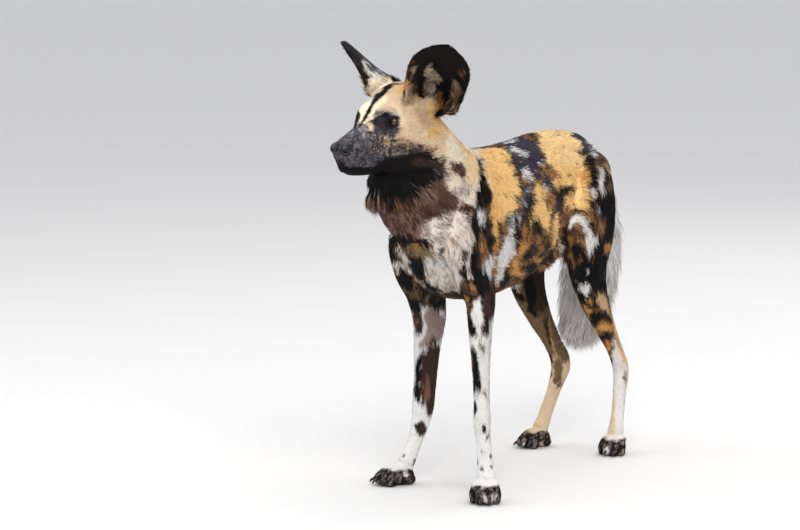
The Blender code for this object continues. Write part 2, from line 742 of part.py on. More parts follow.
def mouth_groove():
    """A thin bent strip that parts the lips but doesn't reach the middle."""
    depth, height = 0.006, 0.0009
    edges = []
    for outwards in (0.014, -depth):
        for rise in (height, -height):
            edges.append(mouth_line(rise, outwards))
    corners = (edges[0], edges[1], edges[3], edges[2])
    bm = bmesh.new()
    loops = []
    for i in range(len(edges[0])):
        loops.append([bm.verts.new(place(head_point(line[i]))) for line in corners])
    bridge(bm, loops)
    return new_object("mouth_groove", mesh_from(bm))


def eye_axes(way):
    """The eye's aim, the long axis of its opening and the axis across that."""
    aim = Vector(EYE_AIM).normalized()
    across = Vector((0, 0, 1)).cross(aim).normalized()
    rise = aim.cross(across)
    c, s = math.cos(EYE_SLANT), math.sin(EYE_SLANT)
    long_axis = across * c + rise * s
    short_axis = rise * c - across * s
    return [mirrored(axis, way) for axis in (aim, long_axis, short_axis)]


def lid_opening(way):
    """An almond-shaped prism from the middle of the eye outwards."""
    aim, long_axis, short_axis = eye_axes(way)
    centre = mirrored(EYE_PLACE, way)
    half_length, half_height = EYE_OPENING
    outline = []
    for k in range(14):
        angle = 2 * math.pi * k / 14
        up = math.sin(angle) * half_height * (0.75 + 0.25 * abs(math.sin(angle)))
        outline.append(centre + long_axis * math.cos(angle) * half_length + short_axis * up)
    return new_object("opening", prism(outline, aim * 0.04, head_point))


def eyeball(name, way, extra=0.0):
    mesh = ball(mirrored(EYE_PLACE, way), [EYE_RADIUS + extra] * 3, head_point, 14, 10)
    return new_object(name, mesh)


def nose_body():
    masses = [
        ball((0.1038, 0.0, -0.0450), (0.0175, 0.0150, 0.0135), head_point),
        ball((0.1128, 0.0, -0.0475), (0.0090, 0.0105, 0.0125), head_point),
        ball((0.1018, 0.0085, -0.0470), (0.0160, 0.0085, 0.0110), head_point),
        ball((0.1018, -0.0085, -0.0470), (0.0160, 0.0085, 0.0110), head_point),
        ball((0.1058, 0.0, -0.0570), (0.0090, 0.0050, 0.0080), head_point),
    ]
    return fused("nose", masses, NOSE_GRID)


def open_nostrils(body):
    """Cuts the two round openings and the slits that run back from them."""
    nostrils = []
    for way in (1, -1):
        front = (0.1203, 0.0066 * way, -0.0480)
        slit = (0.1098, 0.0150 * way, -0.0505)
        nostrils.append(new_object("nostril", ball(front, (0.0085, 0.0036, 0.0038), head_point, 8, 6)))
        nostrils.append(new_object("slit", ball(slit, (0.0095, 0.0042, 0.0020), head_point, 8, 6)))
    return boolean(body, "DIFFERENCE", nostrils)


def head_region(gap):
    """The space of the head, which a gap makes reach a little further down and back."""
    outline = [(fore - 1.4 * gap, -0.25, up - 1.4 * gap) for fore, up in HEAD_OUTLINE]
    return new_object("head_region", prism(outline, (0.0, 0.5, 0.0), head_point))


def head():
    made = fused("head", head_masses() + [neck(), ruff()], HEAD_GRID)
    return boolean(made, "INTERSECT", [head_region(0.0)])


# Ears


def ear_axes(way):
    """An ear's axis, the way its cup opens and the direction across it, as on the left side."""
    axis = Vector(EAR_AXES[way]).normalized()
    ahead = Vector((1, 0, 0))
    ahead = (ahead - axis * ahead.dot(axis)).normalized()
    turn = EAR_TURNS[way]
    opening = ahead * math.cos(turn) + axis.cross(ahead) * math.sin(turn)
    return axis, opening, axis.cross(opening)


def ear_half_width(t):
    if t < 0:
        return EAR_BASE_WIDTH * (1 - (1 - EAR_FOOT_WIDTH) * (t / EAR_FOOT) ** 2)
    if t < EAR_WIDEST:
        rise = math.sin(0.5 * math.pi * t / EAR_WIDEST) ** EAR_SWELL
        return EAR_BASE_WIDTH + (EAR_HALF_WIDTH - EAR_BASE_WIDTH) * rise
    past = (t - EAR_WIDEST) / (1 - EAR_WIDEST)
    return EAR_HALF_WIDTH * math.sqrt(max(0.0, 1 - past * past))


def ear_point(t, s, inside, way):
    """A point of an ear on the left side, t along it from the base, s from edge to edge."""
    axis, opening, across = ear_axes(way)
    bend = math.radians(118 - 84 * min(1.0, t / 0.62))
    radius = ear_half_width(t) / math.sin(min(bend, 0.5 * math.pi))
    angle = s * bend
    thickness = EAR_THICKNESS * (1 - 0.6 * abs(s) ** 3) * (1 - 0.5 * t) * inside
    reach = radius - thickness
    middle = radius * math.sin(bend) / bend
    point = Vector(EAR_BASE) + axis * (t * EAR_LENGTH)
    point += across * reach * math.sin(angle)
    return point + opening * (middle - reach * math.cos(angle))


def ear(name, way):
    """A cupped shell. Its foot is buried in the head, where it is then cut to fit."""
    steps = [1 - (1 - i / EAR_ROWS) ** 1.6 for i in range(EAR_ROWS + 1)]
    ts = [-EAR_FOOT + (0.995 + EAR_FOOT) * step for step in steps]
    bm = bmesh.new()
    loops = []
    for t in ts:
        columns = [-1 + 2 * j / EAR_COLUMNS for j in range(EAR_COLUMNS + 1)]
        outer = [ear_point(t, s, 0.0, way) for s in columns]
        inner = [ear_point(t, s, 1.0, way) for s in reversed(columns)]
        loops.append([bm.verts.new(place(head_point(mirrored(p, way)))) for p in outer + inner])
    sides = EAR_COLUMNS + 1
    for loop, after in zip(loops, loops[1:]):
        for k in range(2 * sides):
            n = (k + 1) % (2 * sides)
            bm.faces.new((loop[k], loop[n], after[n], after[k]))
    for loop in (loops[0], loops[-1]):
        for k in range(sides - 1):
            bm.faces.new((loop[k], loop[k + 1], loop[-2 - k], loop[-1 - k]))
    bmesh.ops.triangulate(bm, faces=bm.faces)
    return new_object(name, mesh_from(bm))


# The whole dog


def finish(obj, kind, roughness=0.85):
    name = "coat_" + kind
    made = bpy.data.materials.get(name) or material(name, COLOURS[kind], roughness)
    obj.data.materials.clear()
    obj.data.materials.append(made)
    obj.data.shade_smooth()
    obj.data.set_sharp_from_angle(angle=math.radians(40))


def body_nodes():
    legs = all_leg_rows()
    masses = [trunk(), neck(), ruff()] + head_masses() + [loft(rows) for rows in legs.values()]
    body = fused("body", masses, BODY_GRID)
    neck_at, neck_way = plane_in_row(NECK_PLANE)
    neck_node = copy_of(body, "neck")
    cut_plane(neck_node, neck_at, neck_way)
    boolean(neck_node, "DIFFERENCE", [head_region(GAP)])
    cut_plane(body, neck_at - neck_way * GAP, -neck_way)
    cutters = []
    for name, rows in legs.items():
        way = 1 if name.endswith("left") else -1
        fore = name.startswith("fore")
        wall = FORE_WALL if fore else HIND_WALL
        leg = copy_of(body, name)
        boolean(leg, "INTERSECT", [leg_cutter(rows, wall, way, 0.0)])
        top = FOREPAW_TOP if fore else HINDPAW_TOP
        cut_plane(leg, (0, 0, top), (0, 0, 1))
        finish(largest_surface(leg), "leg")
        cutters.append(leg_cutter(rows, wall, way, GAP))
        paw_name = name.replace("leg", "paw")
        finish(paw(paw_name, rows, top), "paw")
    torso = copy_of(body, "torso")
    boolean(torso, "DIFFERENCE", cutters)
    finish(torso, "torso")
    drop([body])
    shaggy_neck(neck_node, torso)
    return torso


def shaggy_neck(neck_node, torso):
    """The neck with its ruff. The locks are cut clear of the head, the chest and the shoulders."""
    boolean(neck_node, "UNION", ruff_locks(neck_node), "MANIFOLD")
    near = [torso, bpy.data.objects["foreleg_left"], bpy.data.objects["foreleg_right"]]
    for other in near:
        boolean(neck_node, "DIFFERENCE", [grown(other, GAP)], "MANIFOLD")
    boolean(neck_node, "DIFFERENCE", [head_region(GAP)], "MANIFOLD")
    finish(neck_node, "neck")


def tail_nodes(torso):
    root = new_object("tail_root", tail())
    brush = copy_of(root, "tail_brush")
    cut_plane(root, (0, 0, BRUSH_LEVEL), (0, 0, 1))
    boolean(root, "DIFFERENCE", [grown(torso, GAP)])
    cut_plane(brush, (0, 0, BRUSH_LEVEL - GAP), (0, 0, -1))
    boolean(brush, "UNION", brush_locks(brush), "MANIFOLD")
    for other in (torso, bpy.data.objects["hindleg_left"], bpy.data.objects["hindleg_right"]):
        boolean(brush, "DIFFERENCE", [grown(other, GAP)], "MANIFOLD")
    cut_plane(brush, (0, 0, BRUSH_LEVEL - GAP), (0, 0, -1))
    finish(root, "tail")
    finish(largest_surface(brush), "tail")


def head_nodes():
    skull = head()
    nose_node = nose_body()
    for way, side in ((1, "left"), (-1, "right")):
        flap = ear("ear_" + side, way)
        boolean(flap, "DIFFERENCE", [grown(skull, GAP)])
        finish(flap, "ear")
        finish(eyeball("eye_" + side, way), "eye", 0.15)
    cutters = [eyeball("socket", 1, GAP), eyeball("socket", -1, GAP)]
    cutters += [lid_opening(1), lid_opening(-1), mouth_groove(), grown(nose_node, GAP)]
    boolean(skull, "DIFFERENCE", cutters, "MANIFOLD")
    finish(skull, "head")
    finish(open_nostrils(nose_node), "nose", 0.35)


def main():
    for old in list(bpy.data.objects):
        bpy.data.objects.remove(old)
    torso = body_nodes()
    tail_nodes(torso)
    head_nodes()


if __name__ == "__main__":
    main()
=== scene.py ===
import math
import random
import time

import bmesh
import bpy
import numpy as np
from mathutils import Matrix, Vector
from mathutils.bvhtree import BVHTree


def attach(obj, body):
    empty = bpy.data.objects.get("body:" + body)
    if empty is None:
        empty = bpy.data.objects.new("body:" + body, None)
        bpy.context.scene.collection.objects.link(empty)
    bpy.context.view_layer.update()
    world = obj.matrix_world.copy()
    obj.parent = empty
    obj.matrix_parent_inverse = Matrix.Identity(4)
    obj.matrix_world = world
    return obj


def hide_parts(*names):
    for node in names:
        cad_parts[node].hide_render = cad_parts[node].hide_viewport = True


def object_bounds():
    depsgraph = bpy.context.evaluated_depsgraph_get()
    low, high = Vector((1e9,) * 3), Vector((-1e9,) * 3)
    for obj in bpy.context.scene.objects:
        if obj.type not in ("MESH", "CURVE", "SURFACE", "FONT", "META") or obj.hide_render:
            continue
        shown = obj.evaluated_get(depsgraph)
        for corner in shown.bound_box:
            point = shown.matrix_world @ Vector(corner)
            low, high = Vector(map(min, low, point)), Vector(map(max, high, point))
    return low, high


# African wild dog, life size, standing with its head turned a little to its right.
# Every length is in metres. The dog's own frame is (fore, side, up), with side to its left.

startedAt = time.time()
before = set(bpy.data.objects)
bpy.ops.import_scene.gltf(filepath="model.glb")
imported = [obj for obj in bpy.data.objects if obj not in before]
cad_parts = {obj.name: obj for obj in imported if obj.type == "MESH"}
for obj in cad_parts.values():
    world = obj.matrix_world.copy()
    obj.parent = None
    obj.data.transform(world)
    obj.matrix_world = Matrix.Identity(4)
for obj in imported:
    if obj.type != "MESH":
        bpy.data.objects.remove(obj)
cadLow, cadHigh = [np.array(corner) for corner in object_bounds()]
farOff = 1e9


def say(stage):
    print("stage: %s, %.0f s" % (stage, time.time() - startedAt))


# The middles are the CAD part's own, so that the row frame is the same.
dog = {
    "middleFore": 0.3191,
    "middleSide": -0.0238,
    "voxel": 0.0028,  # of the skin as it is fused
    "bodySmooth": 22,
    "headSmooth": 4,
    "smoothFactor": 0.6,
    "softEdge": 6,  # steps over which the smoothing fades out towards the head and the paws
    "skinFaces": 165000,
    "pawHeight": 0.055,
    "aboveFloor": 0.0012,
}


def place(p):
    return Vector((p[1] - dog["middleSide"], dog["middleFore"] - p[0], p[2]))


def toDog(points):
    fore = dog["middleFore"] - points[:, 1]
    side = points[:, 0] + dog["middleSide"]
    return np.stack([fore, side, points[:, 2]], 1)


def toRow(points):
    points = np.atleast_2d(np.asarray(points, float))
    x = points[:, 1] - dog["middleSide"]
    y = dog["middleFore"] - points[:, 0]
    return np.stack([x, y, points[:, 2]], 1)


def dirToRow(vectors):
    vectors = np.atleast_2d(np.asarray(vectors, float))
    return np.stack([vectors[:, 1], -vectors[:, 0], vectors[:, 2]], 1)


def dirToDog(vectors):
    return np.stack([-vectors[:, 1], vectors[:, 0], vectors[:, 2]], 1)


# Camera, set as the photograph was taken: long lens, from the dog's left front, a little above.
lens = {
    "focalPixels": 3500.0,
    "picture": (800, 530),
    "sensor": 36,
    "pitch": 7.4,
    "turn": 31.309208,
    "height": 1.3728235,
    "across": 0.37012791,
    "away": 7.44946614,
}
pictureMiddle = [size / 2 for size in lens["picture"]]


def makeCamera():
    turn, pitch = math.radians(lens["turn"]), math.radians(lens["pitch"])
    c, s = math.cos(turn), math.sin(turn)
    fore = s * lens["across"] + c * lens["away"]
    side = s * lens["away"] - c * lens["across"]
    right = Vector((c, s, 0))
    level = Vector((-s, c, 0))
    look = level * math.cos(pitch) - Vector((0, 0, 1)) * math.sin(pitch)
    rise = Vector((0, 0, 1)) * math.cos(pitch) + level * math.sin(pitch)
    data = bpy.data.cameras.new("camera")
    data.sensor_fit = "HORIZONTAL"
    data.sensor_width = lens["sensor"]
    data.lens = lens["focalPixels"] * lens["sensor"] / lens["picture"][0]
    data.clip_end = 100
    obj = bpy.data.objects.new("camera", data)
    bpy.context.scene.collection.objects.link(obj)
    turned = Matrix((right, rise, -look)).transposed().to_4x4()
    turned.translation = place((fore, side, lens["height"]))
    obj.matrix_world = turned
    bpy.context.scene.camera = obj
    return turned.translation.copy(), right, rise, look


cameraAt, cameraRight, cameraRise, cameraLook = makeCamera()
bpy.context.scene.view_settings.view_transform = "Standard"


def rayThrough(x, y):
    across = (x - pictureMiddle[0]) / lens["focalPixels"]
    up = (pictureMiddle[1] - y) / lens["focalPixels"]
    return (cameraLook + cameraRight * across + cameraRise * up).normalized()


def pictured(points):
    away = points - np.array(cameraAt)
    depth = away @ np.array(cameraLook)
    x = pictureMiddle[0] + lens["focalPixels"] * (away @ np.array(cameraRight)) / depth
    y = pictureMiddle[1] - lens["focalPixels"] * (away @ np.array(cameraRise)) / depth
    return np.stack([x, y], 1)


# Shapes: lofts along rows of (fore, side, up, half width, front, back, squareness, turn), with
# rounded ends. The shares are the sizes of the two rings of an end.
caps = {"depth": 0.7, "shares": (0.35, 0.8)}


def catmull(rows, steps):
    rows = np.array(rows, float)
    ends = np.vstack([2 * rows[0] - rows[1], rows, 2 * rows[-1] - rows[-2]])
    made = []
    for i in range(1, len(ends) - 2):
        p0, p1, p2, p3 = ends[i - 1:i + 3]
        for t in np.arange(steps) / steps:
            linear = (p2 - p0) * t
            square = (2 * p0 - 5 * p1 + 4 * p2 - p3) * t ** 2
            cube = (3 * p1 - p0 - 3 * p2 + p3) * t ** 3
            made.append(0.5 * (2 * p1 + linear + square + cube))
    made.append(rows[-1])
    return np.array(made)


def ringPoints(centre, sideAxis, frontAxis, size, sides):
    half, front, back, square = size
    ring = []
    for k in range(sides):
        angle = 2 * math.pi * k / sides
        c, s = math.cos(angle), math.sin(angle)
        across = math.copysign(abs(c) ** (2 / square), c) * half
        along = math.copysign(abs(s) ** (2 / square), s) * (front if s > 0 else back)
        ring.append(centre + sideAxis * across + frontAxis * along)
    return ring


def bridge(bm, loops):
    sides = len(loops[0])
    for lower, upper in zip(loops, loops[1:]):
        for k in range(sides):
            after = (k + 1) % sides
            bm.faces.new((lower[k], lower[after], upper[after], upper[k]))


def loft(bm, rows, sideHint=(0, 1, 0), steps=5, sides=28, turn=Vector):
    fine = catmull(rows, steps)
    centres = [Vector(row[:3]) for row in fine]
    rings = []
    for i, row in enumerate(fine):
        line = (centres[min(i + 1, len(fine) - 1)] - centres[max(i - 1, 0)]).normalized()
        hint = Matrix.Rotation(row[7], 3, "Z") @ Vector(sideHint)
        sideAxis = (hint - line * hint.dot(line)).normalized()
        rings.append((centres[i], sideAxis, line.cross(sideAxis), row[3:7], line))

    def cap(ring, share, way):
        centre, sideAxis, frontAxis, size, line = ring
        depth = caps["depth"] * size[0] * math.sqrt(1 - share * share) * way
        less = (size[0] * share, size[1] * share, size[2] * share, size[3])
        return (centre + line * depth, sideAxis, frontAxis, less, line)

    first = [cap(rings[0], share, -1) for share in caps["shares"]]
    last = [cap(rings[-1], share, 1) for share in reversed(caps["shares"])]
    loops = []
    for centre, sideAxis, frontAxis, size, _ in first + rings + last:
        points = ringPoints(centre, sideAxis, frontAxis, size, sides)
        loops.append([bm.verts.new(place(turn(p))) for p in points])
    bridge(bm, loops)
    bm.faces.new(list(reversed(loops[0])))
    bm.faces.new(loops[-1])


def ball(bm, centre, radii, turn=Vector, segments=24, rings=16):
    made = bmesh.ops.create_uvsphere(bm, u_segments=segments, v_segments=rings, radius=1.0)
    for vert in made["verts"]:
        offset = Vector([c * r for c, r in zip(vert.co, radii)])
        vert.co = place(turn(Vector(centre) + offset))


def tube(bm, points, radius, turn=Vector, sides=12):
    rows = [(*point, radius, radius, radius, 2.0, 0.0) for point in points]
    loft(bm, rows, (0, 0, 1), steps=4, sides=sides, turn=turn)


def newObject(name, mesh):
    obj = bpy.data.objects.new(name, mesh)
    bpy.context.scene.collection.objects.link(obj)
    return obj


def fromBmesh(name, bm):
    bmesh.ops.recalc_face_normals(bm, faces=bm.faces)
    mesh = bpy.data.meshes.new(name)
    bm.to_mesh(mesh)
    bm.free()
    return newObject(name, mesh)


def meshFrom(name, points, tris):
    mesh = bpy.data.meshes.new(name)
    mesh.vertices.add(len(points))
    mesh.vertices.foreach_set("co", points.astype(np.float32).ravel())
    mesh.loops.add(len(tris) * 3)
    mesh.loops.foreach_set("vertex_index", tris.ravel().astype(np.int32))
    mesh.polygons.add(len(tris))
    mesh.polygons.foreach_set("loop_start", np.arange(0, len(tris) * 3, 3, dtype=np.int32))
    mesh.update(calc_edges=True)
    return mesh


def smoothFaces(mesh):
    mesh.polygons.foreach_set("use_smooth", np.ones(len(mesh.polygons), bool))


def addFuse(obj, voxel):
    fuse = obj.modifiers.new("fuse", "REMESH")
    fuse.mode = "VOXEL"
    fuse.voxel_size = voxel


def addSmooth(obj, steps, group=""):
    smooth = obj.modifiers.new("smooth", "SMOOTH")
    smooth.factor = dog["smoothFactor"]
    smooth.iterations = steps
    smooth.vertex_group = group


def applyModifiers(obj):
    graph = bpy.context.evaluated_depsgraph_get()
    mesh = bpy.data.meshes.new_from_object(obj.evaluated_get(graph))
    old = obj.data
    obj.modifiers.clear()
    obj.data = mesh
    bpy.data.meshes.remove(old)


def readPoints(mesh):
    co = np.empty(len(mesh.vertices) * 3, np.float32)
    mesh.vertices.foreach_get("co", co)
    return co.reshape(-1, 3).astype(float)


def readNormals(mesh):
    no = np.empty(len(mesh.vertices) * 3, np.float32)
    mesh.vertices.foreach_get("normal", no)
    return no.reshape(-1, 3).astype(float)


def readTris(mesh):
    tris = np.empty(len(mesh.polygons) * 3, np.int32)
    mesh.polygons.foreach_get("vertices", tris)
    return tris.reshape(-1, 3)


def readEdges(mesh):
    edges = np.empty(len(mesh.edges) * 2, np.int32)
    mesh.edges.foreach_get("vertices", edges)
    return edges.reshape(-1, 2)


def unit(v):
    return v / np.maximum(np.linalg.norm(v, axis=-1, keepdims=True), 1e-12)


# Trunk, neck, throat and tail. The throat and the tail are the cores that long hair grows from.
trunk = {
    "rows": [  # fore, top, bottom, half width
        (-0.070, 0.640, 0.545, 0.032), (-0.045, 0.668, 0.505, 0.060),
        (-0.005, 0.692, 0.470, 0.078), (0.045, 0.704, 0.452, 0.084),
        (0.105, 0.708, 0.440, 0.078), (0.175, 0.706, 0.434, 0.080),
        (0.245, 0.700, 0.412, 0.090), (0.315, 0.695, 0.395, 0.097),
        (0.390, 0.694, 0.384, 0.098), (0.460, 0.700, 0.384, 0.090),
        (0.520, 0.702, 0.396, 0.080), (0.580, 0.688, 0.430, 0.070),
        (0.628, 0.650, 0.478, 0.058), (0.652, 0.610, 0.525, 0.035),
    ],
    "square": 2.3,
    "sag": (0.0, 0.0, -0.55),  # how the hair of the flanks turns down
}
neck = {
    "rows": [
        (0.470, 0.000, 0.560, 0.088, 0.120, 0.150, 2.1, 0.0),
        (0.545, -0.004, 0.625, 0.086, 0.096, 0.128, 2.1, 0.0),
        (0.600, -0.014, 0.685, 0.082, 0.080, 0.112, 2.1, -0.15),
        (0.635, -0.024, 0.735, 0.078, 0.070, 0.104, 2.1, -0.3),
        (0.652, -0.030, 0.780, 0.066, 0.056, 0.085, 2.1, -0.4),
    ],
}
throat = {
    "rows": [
        (0.676, -0.042, 0.705, 0.052, 0.040, 0.080, 2.0, -0.35),
        (0.680, -0.040, 0.665, 0.070, 0.056, 0.085, 2.0, -0.3),
        (0.678, -0.032, 0.622, 0.078, 0.060, 0.085, 2.0, -0.2),
        (0.666, -0.020, 0.575, 0.076, 0.054, 0.080, 2.0, -0.1),
        (0.644, -0.008, 0.532, 0.068, 0.042, 0.075, 2.0, 0.0),
    ],
    "depth": 0.044,
    "core": 0.5,
}
tail = {
    "rows": [
        (-0.060, 0.000, 0.642, 0.030, 0.030, 0.030),
        (-0.098, 0.000, 0.602, 0.025, 0.025, 0.025),
        (-0.124, -0.003, 0.552, 0.034, 0.030, 0.030),
        (-0.126, -0.009, 0.490, 0.058, 0.042, 0.040),
        (-0.116, -0.013, 0.425, 0.069, 0.048, 0.045),
        (-0.098, -0.015, 0.355, 0.063, 0.044, 0.042),
        (-0.076, -0.014, 0.290, 0.042, 0.034, 0.034),
    ],
    "bare": 0.020,
    "core": 0.5,
}


def trunkMiddle(top, bottom):
    return 0.45 * top + 0.55 * bottom


def bodyMasses(bm):
    rows = []
    for fore, top, bottom, half in trunk["rows"]:
        middle = trunkMiddle(top, bottom)
        rows.append((fore, 0.0, middle, half, top - middle, middle - bottom, trunk["square"], 0.0))
    loft(bm, rows)
    loft(bm, neck["rows"])
    drawnIn = (1 - throat["core"]) * throat["depth"]
    rows = []
    for fore, side, up, half, front, *rest in throat["rows"]:
        rows.append((fore, side, up, half - drawnIn, front - drawnIn, *rest))
    loft(bm, rows)
    thin, core = tail["bare"], tail["core"]
    rows = []
    for fore, side, up, *sizes in tail["rows"]:
        sizes = [size if size < thin else thin + (size - thin) * core for size in sizes]
        rows.append((fore, side, up, *sizes, 2.0, 0.0))
    loft(bm, rows, sides=20)


# Legs, from shoulder or hip to the paw. The turn is the toe-out of the paw in degrees.
foreleg = {
    "up": (0.645, 0.585, 0.515, 0.455, 0.405, 0.345, 0.280, 0.210, 0.158, 0.125, 0.080, 0.045),
    "half": (0.022, 0.030, 0.036, 0.034, 0.029, 0.025, 0.021, 0.018, 0.0195, 0.0175, 0.018, 0.022),
    "front": (0.040, 0.055, 0.055, 0.047, 0.039, 0.034, 0.030, 0.0255, 0.025, 0.0195, 0.0160, 0.018),
    "back": (0.050, 0.068, 0.078, 0.076, 0.066, 0.046, 0.032, 0.0275, 0.026, 0.0235, 0.0180, 0.020),
    "turned": (0.0, 0.0, 0.1, 0.2, 0.4, 0.6, 0.8, 0.9, 1.0, 1.0, 1.0, 1.0),
    "square": 2.2,
}
hindleg = {
    "up": (0.630, 0.565, 0.495, 0.425, 0.360, 0.290, 0.230, 0.178, 0.132, 0.082, 0.042),
    "half": (0.034, 0.042, 0.040, 0.036, 0.029, 0.022, 0.017, 0.0185, 0.017, 0.0165, 0.020),
    "front": (0.070, 0.088, 0.086, 0.066, 0.046, 0.032, 0.023, 0.024, 0.0175, 0.0165, 0.018),
    "back": (0.052, 0.078, 0.086, 0.066, 0.046, 0.030, 0.024, 0.027, 0.0185, 0.0165, 0.018),
    "turned": (0.0, 0.0, 0.0, 0.1, 0.3, 0.5, 0.7, 0.9, 1.0, 1.0, 1.0),
    "square": 2.2,
}
legs = {
    "foreLeft": {
        "kind": foreleg, "way": 1, "toeOut": 28, "paw": (0.574, 0.117, 28, 1.0),
        "fore": (0.478, 0.530, 0.572, 0.562, 0.538, 0.545, 0.552, 0.557, 0.562, 0.563, 0.565, 0.572),
        "side": (0.052, 0.060, 0.066, 0.072, 0.079, 0.086, 0.092, 0.097, 0.101, 0.104, 0.110, 0.116),
    },
    "foreRight": {
        "kind": foreleg, "way": -1, "toeOut": 42, "paw": (0.510, -0.119, -42, 1.0),
        "fore": (0.478, 0.530, 0.564, 0.546, 0.510, 0.482, 0.474, 0.470, 0.466, 0.470, 0.483, 0.500),
        "side": (0.052, 0.060, 0.066, 0.069, 0.071, 0.0745, 0.081, 0.088, 0.095, 0.100, 0.107, 0.115),
    },
    "hindLeft": {
        "kind": hindleg, "way": 1, "toeOut": 16, "paw": (-0.030, 0.090, 16, 0.94),
        "fore": (0.005, 0.035, 0.060, 0.078, 0.064, 0.018, -0.030, -0.066, -0.060, -0.048, -0.032),
        "side": (0.050, 0.064, 0.072, 0.078, 0.083, 0.086, 0.086, 0.084, 0.085, 0.087, 0.090),
    },
    "hindRight": {
        "kind": hindleg, "way": -1, "toeOut": 28, "paw": (-0.016, -0.087, -28, 0.94),
        "fore": (0.005, 0.035, 0.058, 0.072, 0.056, 0.012, -0.032, -0.062, -0.050, -0.034, -0.018),
        "side": (0.050, 0.064, 0.070, 0.074, 0.076, 0.072, 0.066, 0.062, 0.068, 0.078, 0.086),
    },
}
paw = {
    "toes": (  # side at the root, side at the tip, reach ahead, thickness
        (-0.019, -0.0245, 0.040, 0.0100),
        (-0.008, -0.0090, 0.056, 0.0108),
        (0.008, 0.0090, 0.056, 0.0108),
        (0.019, 0.0245, 0.040, 0.0100),
    ),
    "toeRows": (  # share of the reach, share of the way from root to tip, up, sizes in thicknesses
        (0.0, 0.0, 0.034, 1.0, 1.0, 1.0), (0.45, 0.4, 0.031, 1.0, 1.0, 1.1),
        (0.78, 1.0, 0.020, 1.05, 1.0, 1.3), (0.97, 1.0, 0.011, 0.85, 0.7, 0.95),
    ),
    "toePad": (0.72, 0.007, 0.013, 0.9, 0.009),  # share of the reach, up, length, width, height
    "masses": (  # centre, radii
        ((0.002, 0.0, 0.020), (0.030, 0.026, 0.024)), ((-0.010, 0.0, 0.010), (0.022, 0.022, 0.014)),
    ),
    "end": (0.03, 0.012, 0.025, 0.02),  # of a leg's middle line: ahead, up, half width, depth
}


def legRows(leg):
    kind, way = leg["kind"], leg["way"]
    columns = [kind[name] for name in ("up", "half", "front", "back", "turned")]
    rows = []
    for fore, side, up, half, front, back, turned in zip(leg["fore"], leg["side"], *columns):
        turn = math.radians(leg["toeOut"]) * turned * way
        rows.append((fore, side * way, up, half, front, back, kind["square"], turn))
    return rows


def pawTurn(leg):
    fore, side, toe, size = leg["paw"]
    turn = Matrix.Rotation(math.radians(toe), 3, "Z")

    def turned(point):
        moved = turn @ (Vector(point) * size)
        return Vector((fore + moved[0], side + moved[1], moved[2]))

    return turned


def legMasses(bm):
    for leg in legs.values():
        rows, turned = legRows(leg), pawTurn(leg)
        loft(bm, rows)
        for centre, radii in paw["masses"]:
            ball(bm, centre, radii, turned)
        for root, tip, reach, thick in paw["toes"]:
            rows = []
            for along, toTip, up, *sizes in paw["toeRows"]:
                side = root * (1 - toTip) + tip * toTip
                rows.append((reach * along, side, up, *[thick * size for size in sizes], 2.0, 0.0))
            loft(bm, rows, steps=3, sides=14, turn=turned)
            along, up, length, width, height = paw["toePad"]
            ball(bm, (reach * along, tip, up), (length, thick * width, height), turned, 12, 8)


